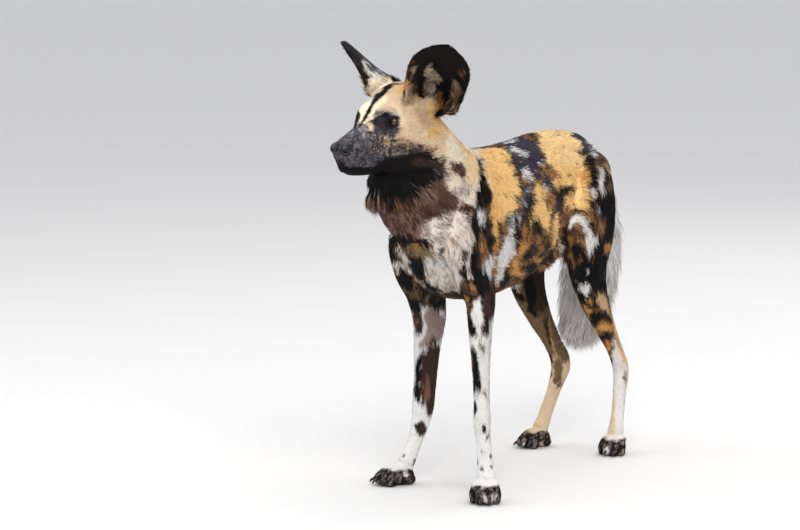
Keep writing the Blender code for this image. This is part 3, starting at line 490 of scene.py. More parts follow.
# Head, in a frame of its own that starts midway between the eyes.
head = {
    "yaw": -20, "pitch": -2,
    "eyeLine": (0.699, -0.050, 0.767),
    "eyePlace": (-0.004, 0.0340, -0.001), "eyeRadius": 0.0120, "lidRadius": 0.0155,
    "eyeAim": (0.77, 0.63, 0.08), "gaze": (0.92, 0.38, 0.06),
    "eyeOpening": (0.0132, 0.0072), "eyeSlant": 14,
    "socket": (1.05, 1.15), "socketDepth": 0.55,  # shares of the opening and of the eye's radius
    "skull": [
        (-0.108, 0.0, -0.002, 0.042, 0.050, 0.050, 2.0, 0.0),
        (-0.088, 0.0, -0.006, 0.056, 0.070, 0.064, 2.0, 0.0),
        (-0.058, 0.0, -0.010, 0.062, 0.083, 0.064, 2.1, 0.0),
        (-0.030, 0.0, -0.014, 0.058, 0.081, 0.060, 2.2, 0.0),
        (-0.006, 0.0, -0.018, 0.048, 0.070, 0.056, 2.3, 0.0),
        (0.014, 0.0, -0.022, 0.042, 0.064, 0.050, 2.3, 0.0),
        (0.034, 0.0, -0.030, 0.035, 0.053, 0.040, 2.2, 0.0),
        (0.052, 0.0, -0.036, 0.026, 0.034, 0.034, 2.1, 0.0),
    ],
    "muzzle": [
        (-0.0200, 0.0, -0.036, 0.056, 0.058, 0.044, 2.2, 0.0),
        (0.0060, 0.0, -0.038, 0.047, 0.054, 0.044, 2.4, 0.0),
        (0.0321, 0.0, -0.042, 0.039, 0.046, 0.043, 2.5, 0.0),
        (0.0556, 0.0, -0.046, 0.033, 0.039, 0.040, 2.6, 0.0),
        (0.0792, 0.0, -0.050, 0.029, 0.031, 0.036, 2.6, 0.0),
        (0.0995, 0.0, -0.053, 0.025, 0.024, 0.030, 2.5, 0.0),
        (0.1081, 0.0, -0.055, 0.018, 0.014, 0.023, 2.4, 0.0),
    ],
    "jaw": [
        (-0.0800, 0.0, -0.060, 0.048, 0.040, 0.028, 2.0, 0.0),
        (-0.0450, 0.0, -0.070, 0.050, 0.034, 0.025, 2.1, 0.0),
        (-0.0100, 0.0, -0.080, 0.041, 0.028, 0.021, 2.2, 0.0),
        (0.0235, 0.0, -0.086, 0.030, 0.022, 0.018, 2.3, 0.0),
        (0.0535, 0.0, -0.089, 0.023, 0.016, 0.016, 2.4, 0.0),
        (0.0792, 0.0, -0.089, 0.018, 0.013, 0.014, 2.4, 0.0),
        (0.0899, 0.0, -0.088, 0.013, 0.010, 0.012, 2.4, 0.0),
    ],
    "mouth": (
        (0.1043, 0.0000, -0.0850), (0.0995, 0.0130, -0.0855), (0.0835, 0.0230, -0.0870),
        (0.0556, 0.0285, -0.0880), (0.0257, 0.0360, -0.0860), (-0.0060, 0.0455, -0.0800),
    ),
    "mouthBack": 0.05,  # the lips stand out away from this point of the middle line
    "crease": (0.0030, 0.0035), "creaseStretch": (0.5, 0.5, 1.6),  # depth and width
    "lipRolls": ((0.0055, 0.0010, 0.0045), (-0.0055, -0.0030, 0.0040)),  # rise, outwards, radius
    "masses": (  # cheek, jowl, brow, root of the ear and pad of the lip: centre, radii
        ((-0.034, 0.044, -0.026), (0.046, 0.027, 0.032)),
        ((-0.056, 0.038, -0.052), (0.044, 0.032, 0.040)),
        ((0.009, 0.034, 0.017), (0.024, 0.016, 0.012)),
        ((-0.079, 0.043, 0.022), (0.025, 0.022, 0.022)),
        ((0.088, 0.015, -0.068), (0.018, 0.015, 0.018)),
    ),
    # The face ends at two slanting planes, and its hair lies back from the nose.
    "faceBack": (-0.083, 0.090, 0.217), "faceUnder": (-0.1085, 0.02, -0.1796),
    "hairFrom": (0.120, 0.0, -0.050),
}
headMatrix = Matrix.Rotation(math.radians(head["yaw"]), 3, "Z")
headMatrix = headMatrix @ Matrix.Rotation(-math.radians(head["pitch"]), 3, "Y")


def headTurn(p):
    return Vector(head["eyeLine"]) + headMatrix @ Vector(p)


def toHead(points):
    offset = toDog(points) - np.array(head["eyeLine"])
    return offset @ np.array(headMatrix)


def fromHead(points):
    return toRow(points @ np.array(headMatrix).T + np.array(head["eyeLine"]))


def mirrored(p, way):
    return Vector((p[0], p[1] * way, p[2]))


def mouthLine(rise, outwards):
    half = []
    for fore, side, up in head["mouth"]:
        away = Vector((fore - head["mouthBack"], side * 2.0, 0.0)).normalized() * outwards
        half.append(Vector((fore, side, up + rise)) + away)
    half[0][1] = 0.0
    return [mirrored(p, -1) for p in half[:0:-1]] + half


def headMasses(bm):
    for part in ("skull", "muzzle", "jaw"):
        loft(bm, head[part], turn=headTurn)
    lid = (head["eyePlace"], [head["lidRadius"]] * 3)
    for way in (1, -1):
        for centre, radii in (lid, *head["masses"]):
            ball(bm, mirrored(centre, way), radii, headTurn)
    for rise, outwards, radius in head["lipRolls"]:
        tube(bm, mouthLine(rise, outwards), radius, headTurn)


# Ears: wide shallow cups on a narrow foot, each turned its own way. 1 is the left ear.
ear = {
    "base": (-0.0814, 0.0589, 0.0435),
    "axis": {1: (0.293, 0.654, 0.670), -1: (0.103, 0.788, 0.571)}, "turn": {1: 50, -1: 51},
    "length": 0.1630, "halfWidth": 0.0612, "baseWidth": 0.0350, "widest": 0.557, "swell": 0.35,
    "foot": 0.20, "footWidth": 0.45, "thickness": 0.0038, "rows": 44, "columns": 36,
    "bend": (34, 84, 0.80),  # half the cup's angle, what the foot adds, and how far up it adds
    "thinning": (0.6, 0.5),  # towards the edge and towards the tip
    "tip": 0.9993, "crowding": 1.5,  # of the rows, towards the tip
}


def earAxes(way):
    axis = Vector(ear["axis"][way]).normalized()
    ahead = Vector((1, 0, 0))
    ahead = (ahead - axis * ahead.dot(axis)).normalized()
    turn = math.radians(ear["turn"][way])
    opening = ahead * math.cos(turn) + axis.cross(ahead) * math.sin(turn)
    return axis, opening, axis.cross(opening)


def earHalfWidth(t):
    if t < 0:
        return ear["baseWidth"] * (1 - (1 - ear["footWidth"]) * (t / ear["foot"]) ** 2)
    if t < ear["widest"]:
        rise = math.sin(0.5 * math.pi * t / ear["widest"]) ** ear["swell"]
        return ear["baseWidth"] + (ear["halfWidth"] - ear["baseWidth"]) * rise
    past = (t - ear["widest"]) / (1 - ear["widest"])
    return ear["halfWidth"] * math.sqrt(max(0.0, 1 - past * past))


def earPoint(t, s, inside, way):
    axis, opening, across = earAxes(way)
    half, more, upTo = ear["bend"]
    bend = math.radians(half + more * (1 - min(1.0, t / upTo)) ** 2)
    radius = earHalfWidth(t) / math.sin(min(bend, 0.5 * math.pi))
    angle = s * bend
    toEdge, toTip = ear["thinning"]
    thickness = ear["thickness"] * (1 - toEdge * abs(s) ** 3) * (1 - toTip * t) * inside
    reach = radius - thickness
    middle = radius * math.sin(bend) / bend
    point = Vector(ear["base"]) + axis * (t * ear["length"])
    point += across * reach * math.sin(angle)
    return point + opening * (middle - reach * math.cos(angle))


def earShell(way):
    rows, columns = ear["rows"], ear["columns"]
    steps = [1 - (1 - i / rows) ** ear["crowding"] for i in range(rows + 1)]
    ts = [-ear["foot"] + (ear["tip"] + ear["foot"]) * step for step in steps]
    points, insides, tValues, sValues = [], [], [], []
    for t in ts:
        for inside in (0.0, 1.0):
            order = range(columns + 1) if not inside else range(columns, -1, -1)
            for j in order:
                s = -1 + 2 * j / columns
                points.append(place(headTurn(mirrored(earPoint(t, s, inside, way), way))))
                insides.append(inside)
                tValues.append(t)
                sValues.append(s)
    ring = 2 * (columns + 1)
    faces = []
    for i in range(rows):
        for k in range(ring):
            n = (k + 1) % ring
            faces.append((i * ring + k, i * ring + n, (i + 1) * ring + n, (i + 1) * ring + k))
    for start in (0, rows * ring):
        for k in range(columns):
            faces.append((start + k, start + k + 1, start + ring - 2 - k, start + ring - 1 - k))
    return np.array(points, float), faces, np.array(insides), np.array(tValues), np.array(sValues)


# The skin: every mass fused into one surface, smoothed, drawn in by the depth of the coat.
parts = [
    "head", "neck", "trunk", "tail", "foreLeft", "foreRight", "hindLeft", "hindRight", "earLeft",
    "earRight",
]
coatDepth = {
    "head": 0.0012, "neck": 0.0040, "trunk": 0.0040, "tail": 0.0005, "foreLeft": 0.0022,
    "foreRight": 0.0022, "hindLeft": 0.0024, "hindRight": 0.0024,
}


def behindFace(points):
    h = toHead(points)
    start, below, slope = head["faceBack"]
    back = h[:, 0] < start - (h[:, 2] + below) * slope
    level, ahead, fall = head["faceUnder"]
    under = h[:, 2] < level - (ahead - np.minimum(h[:, 0], ahead)) * fall
    return back | under


# The middle line of each part and the way its hair lies along it: (fore, side, up, width, depth).
def centreLines():
    def middle(rows):
        return [(*row[:4], 0.5 * (row[4] + row[5])) for row in rows[1:]]

    rows = [
        (fore, 0.0, trunkMiddle(top, bottom), half, 0.5 * (top - bottom))
        for fore, top, bottom, half in trunk["rows"]
    ]
    found = {
        "trunk": (rows, -1.0), "neck": (middle(neck["rows"]), -1.0), "tail": (middle(tail["rows"]), 1.0),
    }
    ahead, *end = paw["end"]
    for name, leg in legs.items():
        fore, side = leg["paw"][:2]
        found[name] = (middle(legRows(leg)) + [(fore + ahead, side, *end)], 1.0)
    return {name: (np.array(rows), way) for name, (rows, way) in found.items()}


def labelAndFlow(points, normals):
    p = toDog(points)
    best = np.full(len(p), farOff)
    label = np.zeros(len(p), int)
    flow = np.zeros((len(p), 3))
    for name, (rows, way) in centreLines().items():
        fine = catmull(rows, 6)
        tangent = np.gradient(fine[:, :3], axis=0)
        tangent = unit(tangent) * way
        for k, row in enumerate(fine):
            radius = 0.5 * (row[3] + row[4])
            d = np.linalg.norm(p - row[:3], axis=1) / radius
            closer = d < best
            best[closer] = d[closer]
            label[closer] = parts.index(name)
            flow[closer] = tangent[k]
    h = toHead(points)
    isHead = ~behindFace(points)
    label[isHead] = 0
    fromNose = unit(h - np.array(head["hairFrom"]))
    fromNose = fromNose @ np.array(headMatrix).T
    flow[isHead] = fromNose[isHead]
    onTrunk = label == 2
    flow[onTrunk] += np.array(trunk["sag"]) * np.abs(unit(dirToDog(normals))[onTrunk][:, 1:2])
    return label, dirToRow(unit(flow))


def spread(values, edges, count, steps):
    a, b = edges[:, 0], edges[:, 1]
    degree = np.bincount(a, minlength=count) + np.bincount(b, minlength=count)
    degree = np.maximum(degree, 1)

    def spreadOnce(column):
        return (np.bincount(a, column[b], count) + np.bincount(b, column[a], count)) / degree

    for _ in range(steps):
        if values.ndim == 1:
            values = spreadOnce(values)
        else:
            values = np.stack([spreadOnce(column) for column in values.T], 1)
    return values


def vertexGroup(obj, name, weights):
    group = obj.vertex_groups.new(name=name)
    for level in np.unique(weights):
        if level > 0:
            group.add(np.nonzero(weights == level)[0].tolist(), float(level), "REPLACE")


def fuseSkin():
    bm = bmesh.new()
    bodyMasses(bm)
    legMasses(bm)
    headMasses(bm)
    obj = fromBmesh("skin", bm)
    addFuse(obj, dog["voxel"])
    applyModifiers(obj)
    say("fused %d faces" % len(obj.data.polygons))
    points, normals = readPoints(obj.data), readNormals(obj.data)
    label, _ = labelAndFlow(points, normals)
    isPaw = (points[:, 2] < dog["pawHeight"]) & (label >= parts.index("foreLeft"))
    plain = np.where((label == 0) | isPaw, 0.0, 1.0)  # not the head and the paws
    soft = spread(plain, readEdges(obj.data), len(points), dog["softEdge"])
    vertexGroup(obj, "soft", np.round(soft, 1))
    addSmooth(obj, dog["bodySmooth"], "soft")
    addSmooth(obj, dog["headSmooth"])
    vertexGroup(obj, "thin", plain)
    thin = obj.modifiers.new("thin", "DECIMATE")
    thin.vertex_group = "thin"
    thin.use_collapse_triangulate = True
    thin.ratio = min(1.0, dog["skinFaces"] / (2 * len(obj.data.polygons)))
    applyModifiers(obj)
    obj.vertex_groups.clear()
    say("skin of %d faces" % len(obj.data.polygons))
    return obj


def eyeAxes(way):
    aim = Vector(head["eyeAim"]).normalized()
    across = Vector((0, 0, 1)).cross(aim).normalized()
    rise = aim.cross(across)
    slant = math.radians(head["eyeSlant"])
    longAxis = across * math.cos(slant) + rise * math.sin(slant)
    shortAxis = rise * math.cos(slant) - across * math.sin(slant)
    return [mirrored(axis, way) for axis in (aim, longAxis, shortAxis)]


# Which points lie in front of an eye, within its opening stretched by the two sizes.
def inOpening(h, way, wide, high):
    offset = h - np.array(mirrored(head["eyePlace"], way))
    aim, longAxis, shortAxis = [np.array(axis) for axis in eyeAxes(way)]
    x = offset @ longAxis / (head["eyeOpening"][0] * wide)
    y = offset @ shortAxis / (head["eyeOpening"][1] * high)
    return offset, (x ** 2 + y ** 2 < 1.0) & (offset @ aim > 0)


def carveFace(points, normals):
    h = toHead(points)
    out = dirToDog(normals) @ np.array(headMatrix)
    for way in (1, -1):
        centre = np.array(mirrored(head["eyePlace"], way))
        offset, inside = inOpening(h, way, *head["socket"])
        h[inside] = centre + unit(offset[inside]) * head["eyeRadius"] * head["socketDepth"]
    line = np.array([list(p) for p in mouthLine(0.0, 0.0)])
    line = catmull(np.hstack([line, np.zeros((len(line), 5))]), 6)[:, :3]
    nearest = np.full(len(h), farOff)
    for q in line:
        d = (h - q) * np.array(head["creaseStretch"])
        nearest = np.minimum(nearest, np.linalg.norm(d, axis=1))
    depth, width = head["crease"]
    h -= out * (depth * np.exp(-(nearest / width) ** 2))[:, None]
    return fromHead(h)


def inEyes(points, size):
    h = toHead(points)
    found = np.zeros(len(points), bool)
    for way in (1, -1):
        offset, inside = inOpening(h, way, size, size)
        found |= inside & (np.linalg.norm(offset, axis=1) < 0.03)
    return found


def buildSkin():
    obj = fuseSkin()
    points, normals = readPoints(obj.data), readNormals(obj.data)
    label, flow = labelAndFlow(points, normals)
    edges, tris = readEdges(obj.data), readTris(obj.data)
    bpy.data.objects.remove(obj)
    depth = np.array([coatDepth.get(name, 0.0) for name in parts])[label]
    depth = spread(depth, edges, len(points), 8)
    points = points - normals * depth[:, None]
    points[:, 2] = np.maximum(points[:, 2], dog["aboveFloor"])
    isHead = label == 0
    points[isHead] = carveFace(points, normals)[isHead]
    zone = np.zeros(len(points), int)
    tValues, sValues = np.zeros(len(points)), np.zeros(len(points))
    flow = spread(flow, edges, len(points), 40)
    for side, way in (("earLeft", 1), ("earRight", -1)):
        earPoints, earFaces, inside, ts, ss = earShell(way)
        start = len(points)
        shape = (ear["rows"] + 1, 2 * (ear["columns"] + 1), 3)
        along = np.gradient(earPoints.reshape(shape), axis=0).reshape(-1, 3)
        points = np.vstack([points, earPoints])
        split = []
        for quad in earFaces:
            a, b, c, d = [start + k for k in quad]
            split += [(a, b, c), (a, c, d)] if way > 0 else [(a, c, b), (a, d, c)]
        tris = np.vstack([tris, np.array(split, np.int32)])
        label = np.append(label, np.full(len(earPoints), parts.index(side)))
        zone = np.append(zone, np.where(inside > 0.5, 1, 2) + (0 if way > 0 else 2))
        tValues, sValues = np.append(tValues, ts), np.append(sValues, ss)
        flow = np.vstack([flow, unit(along)])
    mesh = meshFrom("skin", points, tris)
    mesh.validate()
    bm = bmesh.new()
    bm.from_mesh(mesh)
    bmesh.ops.recalc_face_normals(bm, faces=bm.faces)
    bm.to_mesh(mesh)
    bm.free()
    smoothFaces(mesh)
    mesh.update()
    normals = readNormals(mesh)
    flow = unit(flow - normals * (flow * normals).sum(1, keepdims=True))
    return {
        "obj": newObject("skin", mesh), "points": points, "normals": normals, "flow": flow,
        "tris": readTris(mesh), "edges": readEdges(mesh), "label": label, "zone": zone,
        "t": tValues, "s": sValues, "earCount": len(earPoints),
    }


skin = buildSkin()
say("skin with ears, %d faces" % len(skin["tris"]))
skinTree = BVHTree.FromPolygons(
    [tuple(p) for p in skin["points"]], [tuple(int(k) for k in t) for t in skin["tris"]],
)


# Seeded noise, the same on every run: smooth values on a lattice.
def noise(points, size, seed):
    p = points / size + seed * 17.31
    cell = np.floor(p).astype(np.int64)
    f = p - cell
    f = f * f * (3 - 2 * f)
    total = np.zeros(len(p))
    for dx in (0, 1):
        for dy in (0, 1):
            for dz in (0, 1):
                x, y, z = cell[:, 0] + dx, cell[:, 1] + dy, cell[:, 2] + dz
                key = (x * 73856093) ^ (y * 19349663) ^ (z * 83492791) ^ (seed * 2654435)
                key = (key ^ (key >> 13)) * 1274126177 & 0x7FFFFFFF
                value = ((key ^ (key >> 16)) & 0xFFFF) / 65535.0
                wx = f[:, 0] if dx else 1 - f[:, 0]
                wy = f[:, 1] if dy else 1 - f[:, 1]
                wz = f[:, 2] if dz else 1 - f[:, 2]
                total += value * wx * wy * wz
    return total * 2 - 1


def linear(rgb):
    c = np.array(rgb, float) / 255
    return np.where(c <= 0.04045, c / 12.92, ((c + 0.055) / 1.055) ** 2.4)


# Colours of the coat. With two names it is a mixture: also its grain and the share of the first.
hair = {
    "black": (13, 10, 10), "soot": (46, 41, 45), "blueBlack": (52, 50, 62), "darkBrown": (56, 40, 33),
    "chocolate": (92, 68, 57), "mahogany": (68, 42, 38), "brown": (116, 80, 56),
    "umber": (118, 94, 66), "olive": (132, 110, 80), "ochre": (206, 150, 84),
    "orange": (252, 203, 133), "deepOrange": (234, 178, 108), "lightOrange": (252, 212, 149),
    "sand": (240, 208, 160), "gold": (222, 176, 116), "tan": (198, 164, 126),
    "beige": (218, 192, 158), "cream": (240, 224, 198), "paleCream": (248, 234, 202),
    "white": (228, 224, 219), "warmWhite": (229, 218, 205), "grey": (152, 147, 144),
    "paleGrey": (184, 182, 182), "slate": (74, 70, 78), "russet": (136, 106, 92),
    "taupe": (154, 134, 124), "ash": (98, 92, 98), "tawny": (178, 124, 68),
    "brindle": ("darkBrown", "tawny", 0.010, 0.60), "darkBrindle": ("black", "brown", 0.010, 0.66),
    "umberDark": ("black", "umber", 0.010, 0.60), "frost": ("blueBlack", "paleGrey", 0.006, 0.70),
    "muzzleMix": ("soot", "taupe", 0.0025, 0.70), "underEye": ("slate", "soot", 0.005, 0.50),
    "grizzle": ("soot", "tan", 0.0025, 0.55), "earMix": ("black", "brown", 0.006, 0.64),
    "ochreMix": ("darkBrown", "ochre", 0.006, 0.48),
    "mottledTan": ("black", "tan", 0.007, 0.54), "greyWhite": ("grey", "warmWhite", 0.005, 0.66),
    # The taupe and warm white mixture of the bib on this line is partly the bib's own speckle and partly
    # painted shade of the chest.
    "ruffMix": ("darkBrown", "russet", 0.004, 0.50), "bib": ("taupe", "warmWhite", 0.006, 0.34),
    # The slate and grey mixture on this line is painted sheen: light on the black fur at the top of the
    # muzzle, in a grizzled grain.
    "sootMix": ("soot", "ash", 0.0018, 0.58), "slateMix": ("slate", "grey", 0.0035, 0.74),
    "mottle": ("darkBrown", "tan", 0.008, 0.50),
    "speckleWhite": ("taupe", "white", 0.005, 0.40), "earPale": ("brown", "cream", 0.0030, 0.36),
    "pawMix": ("black", "taupe", 0.005, 0.82),
}


def colourOf(name, points, grit):
    entry = hair[name]
    if not isinstance(entry[0], str):
        return np.broadcast_to(linear(entry), (*grit.shape, 3))
    first, second, grain, share = entry
    n = noise(points * np.array((1, 1, 0.55)), grain, 5) + 0.5 * noise(points, grain * 0.4, 9)
    weight = np.clip(0.5 + (n + 0.9 * grit + (share - 0.5) * 1.6) * 3.0, 0, 1)[..., None]
    return linear(hair[first]) * weight + linear(hair[second]) * (1 - weight)


# Marks, as strokes in picture points (x, y, radius) that are thrown onto the skin from the camera.
marks = {}
marks["head"] = [
    ("beige", [(408.9, 105.9, 16.3), (417.6, 127.6, 17.3), (395.9, 97.2, 9.8), (428.4, 138.4, 13)]),
    ("paleCream", [
        (389.4, 83.1, 4.3), (380.7, 88.5, 6.5), (368.8, 98.3, 6.5), (363.4, 110.2, 5),
        (356.9, 121.1, 2.8)]),
    ("paleCream", [(384, 99.4, 2.4), (374.2, 110.2, 2.2), (366.6, 122.2, 1.7)]),
    ("gold", [(399.1, 91.8, 4.8), (406.7, 89.6, 4.8), (415.4, 97.2, 4.3)]),
    ("gold", [(424.1, 108.1, 5.4), (434.9, 118.9, 6.1), (432.7, 129.7, 6.1), (427.3, 134.1, 3.3)]),
    ("tan", [(417.6, 112.4, 5.4), (424.1, 123.2, 5.4)]),
    ("beige", [(371, 124.3, 3.9), (372, 130.8, 3.3)]),
    # Painted sheen: slate-grey where light falls on the black fur over the top of the muzzle.
    ("slateMix", [(348.2, 136.2, 6.1), (355.8, 129.7, 4.3), (363.4, 129.7, 4.8), (363.4, 139.5, 6.5)]),
    ("sootMix", [(344.9, 140.6, 5.4), (355.8, 144.9, 9.8), (366.6, 150.3, 9.8), (376.4, 151.4, 7.6)]),
    ("sootMix", [(341.7, 157.9, 6.5), (352.5, 159, 9.8), (366.6, 160.1, 9.8), (380.7, 157.9, 8.7)]),
    ("muzzleMix", [(378.5, 142.7, 6.5), (385, 149.3, 6.5), (391.6, 154.7, 6.5), (400.2, 154.7, 5.4)]),
    ("muzzleMix", [(371, 134.1, 3.7), (376.4, 138.4, 4.3), (374.2, 148.2, 4.3)]),
    ("underEye", [(378.5, 129.7, 4.3), (385, 130.8, 6.1), (393.7, 128.7, 5.4), (389.4, 138.4, 4.3)]),
    ("black", [(381.8, 134.1, 1.7), (382.3, 139.5, 1.3)]),
    ("black", [(389.4, 139.5, 2.4), (391.6, 142.7, 1.7)]),
    ("grizzle", [(392, 143, 6.0), (404.6, 146, 6.5), (415.4, 149, 6.5), (427, 152, 5.4)]),
    ("muzzleMix", [(392, 151, 6.0), (404, 153, 5.0), (418, 154, 4.4), (428, 156, 3.6)]),
    ("black", [(338.4, 163.3, 3.3), (348.2, 170.9, 4.3), (363.4, 174.2, 4.3), (380.7, 174.2, 4.3)]),
    ("black", [
        (380.7, 167.7, 6.5), (395.9, 162.3, 7.6), (410, 159, 6.5), (424.1, 156.8, 5),
        (432.7, 160.1, 3.3),
    ]),
    ("black", [(387.2, 174.2, 5.4), (404.6, 172, 6.5), (420.8, 169.9, 6.5)]),
    ("darkBrown", [(428.4, 166.6, 4.8), (438.2, 163.3, 3.3)]),
    ("black", [
        (374.7, 122.2, 2.4), (378.5, 118.4, 3.9), (385, 116.2, 3.7), (391.6, 115.6, 3.3),
        (397.5, 119.4, 2.6)]),
    ("black", [(380.2, 124.3, 3.3), (387.2, 126.5, 3.7), (395.9, 124.3, 2.8)]),
    ("black", [(381, 120.5, 4.2), (387, 121.5, 4.6), (393, 121.5, 4.0)]),
    ("slate", [(377.5, 114, 2), (381.8, 112.9, 1.7)]),
    ("darkBrown", [(414, 162, 4.0), (422, 163, 4.4), (430, 164, 4.0)]),
    # Painted highlight: a thin pale grey line where light catches the upper lid above the eye.
    ("paleGrey", [(387.8, 112.6, 1), (393.7, 114, 1.3), (399.7, 116.2, 1.1)]),
]
marks["brow"] = [
    ("black", [
        (360.1, 124.3, 1.3), (363.4, 118.9, 1.3), (368.8, 110.2, 1.7), (373.1, 102.6, 2.3),
        (377.5, 97.2, 2.7), (384, 91.3, 2.3), (389.4, 86.4, 2)]),
    ("black", [(389.4, 86.4, 1.3), (395.9, 85.3, 0.9), (401.3, 84.7, 0.7)]),
    ("black", [(358.6, 112.5, 1.3), (357.0, 118, 2.0), (355.4, 123, 1.8), (354.6, 126.5, 1.0)]),
]
marks["ears"] = [
    ("earMix", [
        (412.2, 65.8, 3.9), (410.5, 75.5, 4.1), (412.2, 84.2, 4.3), (415.9, 91.8, 3.9),
        (420.8, 99.4, 2.8),
    ]),
    ("tan", [(412.4, 67.9, 1.7), (413.5, 71.2, 1.3)]),
    ("beige", [(405, 90, 3.4), (408, 97, 5.0), (411, 104, 5.5), (417, 104, 5.0), (423, 108, 4.0)]),
    ("gold", [(403.5, 84, 2.4), (405, 89, 2.2)]),
    ("earPale", [(428.5, 67, 2.0), (428.4, 74, 4.4), (434.9, 78.6, 5.2), (440.3, 79.7, 2.2)]),
    ("earPale", [(427.3, 84, 3.8), (429, 91.7, 4.4), (430.5, 98.2, 2.6)]),
    ("ochreMix", [(437.6, 97.2, 3.3), (434.9, 103.7, 3.9), (440.3, 108.1, 3.3)]),
    ("mottledTan", [(458.2, 84.2, 3.7), (455.5, 91.8, 4.3), (453.3, 101.6, 5.4), (449, 110.2, 4.8)]),
    ("earMix", [(460.9, 72.3, 2.8), (463.1, 77.7, 2.2)]),
]
marks["earBack"] = [
    ("frost", [(366, 60, 2.0), (372, 66, 4.0), (380, 71, 5.0), (388, 76, 4.5)]),
    ("greyWhite", [(362.5, 61.5, 1.0), (366, 69, 2.2), (371, 76, 3.6), (378, 80, 4.2), (386, 81, 3.5)]),
    ("paleCream", [(372, 84, 3.6), (380, 82, 3.0)]),
    ("cream", [(371, 93, 2.6), (376, 92, 3.4)]),
    ("darkBrown", [(363.5, 84, 2.4), (366, 90, 2.4), (367.5, 94.5, 1.6)]),
    ("brown", [(356.3, 65.8, 1.7), (359, 72.3, 2.6), (361.7, 78.8, 2.2)]),
    ("soot", [
        (362.3, 55.5, 1.3), (368.8, 59.3, 1.5), (376.4, 64.7, 2), (385, 70.1, 2.4),
        (390.5, 73.4, 1.7),
    ]),
    ("black", [(352.5, 62.5, 3.3), (361.2, 73.4, 2.8), (365.5, 81, 2.6), (364.4, 86.4, 2)]),
]
marks["neck"] = [
    # The bib: speckled white greyed with taupe, partly its own speckle and partly painted shade where the
    # chest lies in half shade.
    ("bib", [(426.4, 227.6, 11.2), (441.7, 207.1, 10.2), (457, 192.9, 9.2), (465.2, 185.7, 6.1)]),
    ("bib", [
        (446.8, 236.7, 13.3), (431.5, 267.3, 12.2), (441.7, 280.6, 10.2), (457, 221.4, 12.2),
        (463.2, 236.7, 10.2)]),
    ("bib", [(457, 267.3, 10.2), (457, 287.8, 6.1)]),
    ("bib", [(468, 249, 3.2), (469, 258, 3.4), (468, 268, 3.8), (467, 279, 3.0)]),
    ("cream", [(455, 154.1, 6.1), (463.2, 159.2, 6.1), (451.9, 162.2, 6.1)]),
    ("sand", [(470.3, 154.1, 4.5), (472.3, 168.4, 4.1), (470.3, 178.6, 2.4)]),
    ("russet", [(453, 166.4, 5.1), (460.1, 169.4, 4.2)]),
    ("taupe", [(440.7, 179.6, 5.1), (444.8, 172.4, 4.1)]),
    ("brown", [(460.1, 182.4, 0.8), (469.3, 183.3, 1)]),
]
marks["ruff"] = [
    ("chocolate", [
        (366.2, 183.7, 5.1), (368.3, 203.1, 6.1), (376.4, 213.3, 8.2), (390.7, 216.3, 11.2),
        (408.1, 216.3, 11.2), (424.4, 207.1, 11.2), (438.7, 203.1, 8.2), (442.8, 192.9, 6.1)]),
    ("mahogany", [(364.2, 190.8, 3.1), (368.3, 205.1, 3.7)]),
    ("mahogany", [(442.8, 190.8, 4.5), (444.8, 202, 5.1), (438.7, 211.2, 5.1), (429.5, 215.3, 4.1)]),
    ("ruffMix", [(380, 222, 8), (391, 231, 8), (403, 234, 8), (414, 229, 7)]),
    ("chocolate", [(434, 182, 6), (440, 194, 7), (438, 206, 6)]),
    ("ruffMix", [(422.3, 187.8, 7), (431, 192, 7), (420.3, 198, 7)]),
    ("ruffMix", [(396, 211.2, 7), (412.1, 211.2, 7), (416.2, 219.4, 5)]),
    ("black", [
        (370.3, 173.5, 4.1), (385.6, 178, 9), (400.9, 178, 9), (416.2, 174, 7),
        (432.6, 171, 5)]),
    ("black", [(377, 187, 6), (388.7, 187, 8), (400.9, 186, 6)]),
    ("darkBrown", [(438.7, 167.3, 5.1), (441.7, 161.2, 3.7)]),
    # Painted shadow: a black band along the bottom edge of the ruff, where it hangs over the chest.
    ("black", [(388.7, 235.7, 3.7), (399.9, 238.8, 5.7), (412.1, 240.8, 3.1), (426.4, 243.4, 2.2)]),
    ("olive", [(406, 248.5, 2.4), (416.2, 250.5, 3.7), (428.5, 248, 3.5)]),
]
marks["chest"] = [
    ("speckleWhite", [(424.4, 261.2, 4.1), (436.6, 261.2, 4.1), (448.9, 263.3, 4.1)]),
    ("black", [(387.1, 240.8, 2.7), (390.7, 248, 3.7), (392.8, 255.1, 3.5), (396.8, 257.1, 1.8)]),
    ("black", [
        (410.1, 253.1, 2.7), (414.7, 258.2, 3.1), (412.1, 263.3, 5.1), (418.3, 268.4, 6.1),
        (420.3, 274.5, 4.7)]),
    ("black", [(398.9, 267.9, 1.8), (404, 275.5, 6.1), (406, 283.7, 6.1), (410.6, 274.5, 3.7)]),
    ("mottle", [(416.2, 278.6, 2.4), (417.8, 283.7, 2.7), (415.2, 286.7, 2)]),
    ("black", [(424.4, 280.6, 3.7), (430.5, 285.7, 3.7), (436.6, 288.8, 2.7)]),
    ("umberDark", [(416.2, 294.9, 7.1), (430.5, 298, 9.2), (444.8, 302, 7.1)]),
    ("black", [(401.9, 290.8, 4.1), (409.1, 300, 5.1), (416.2, 307.1, 4.1)]),
    ("black", [(439.7, 248, 2.4), (438.9, 252, 2)]),
    ("tan", [(465.2, 223.5, 0.4), (454, 237.8, 0.5), (446.8, 246.9, 0.4)]),
    ("black", [(466.2, 205.1, 1.5), (465, 211.2, 1.3), (463.2, 216.3, 1.1)]),
    ("brown", [(466, 210.2, 0.8), (465.2, 212.2, 0.8)]),
    ("darkBrown", [(467.2, 246.9, 2), (464.2, 251, 2.9), (459.1, 254.1, 1.5)]),
    ("black", [(462.1, 264.3, 2.9), (463.2, 270.4, 3.5), (464.2, 276.5, 2.2)]),
]
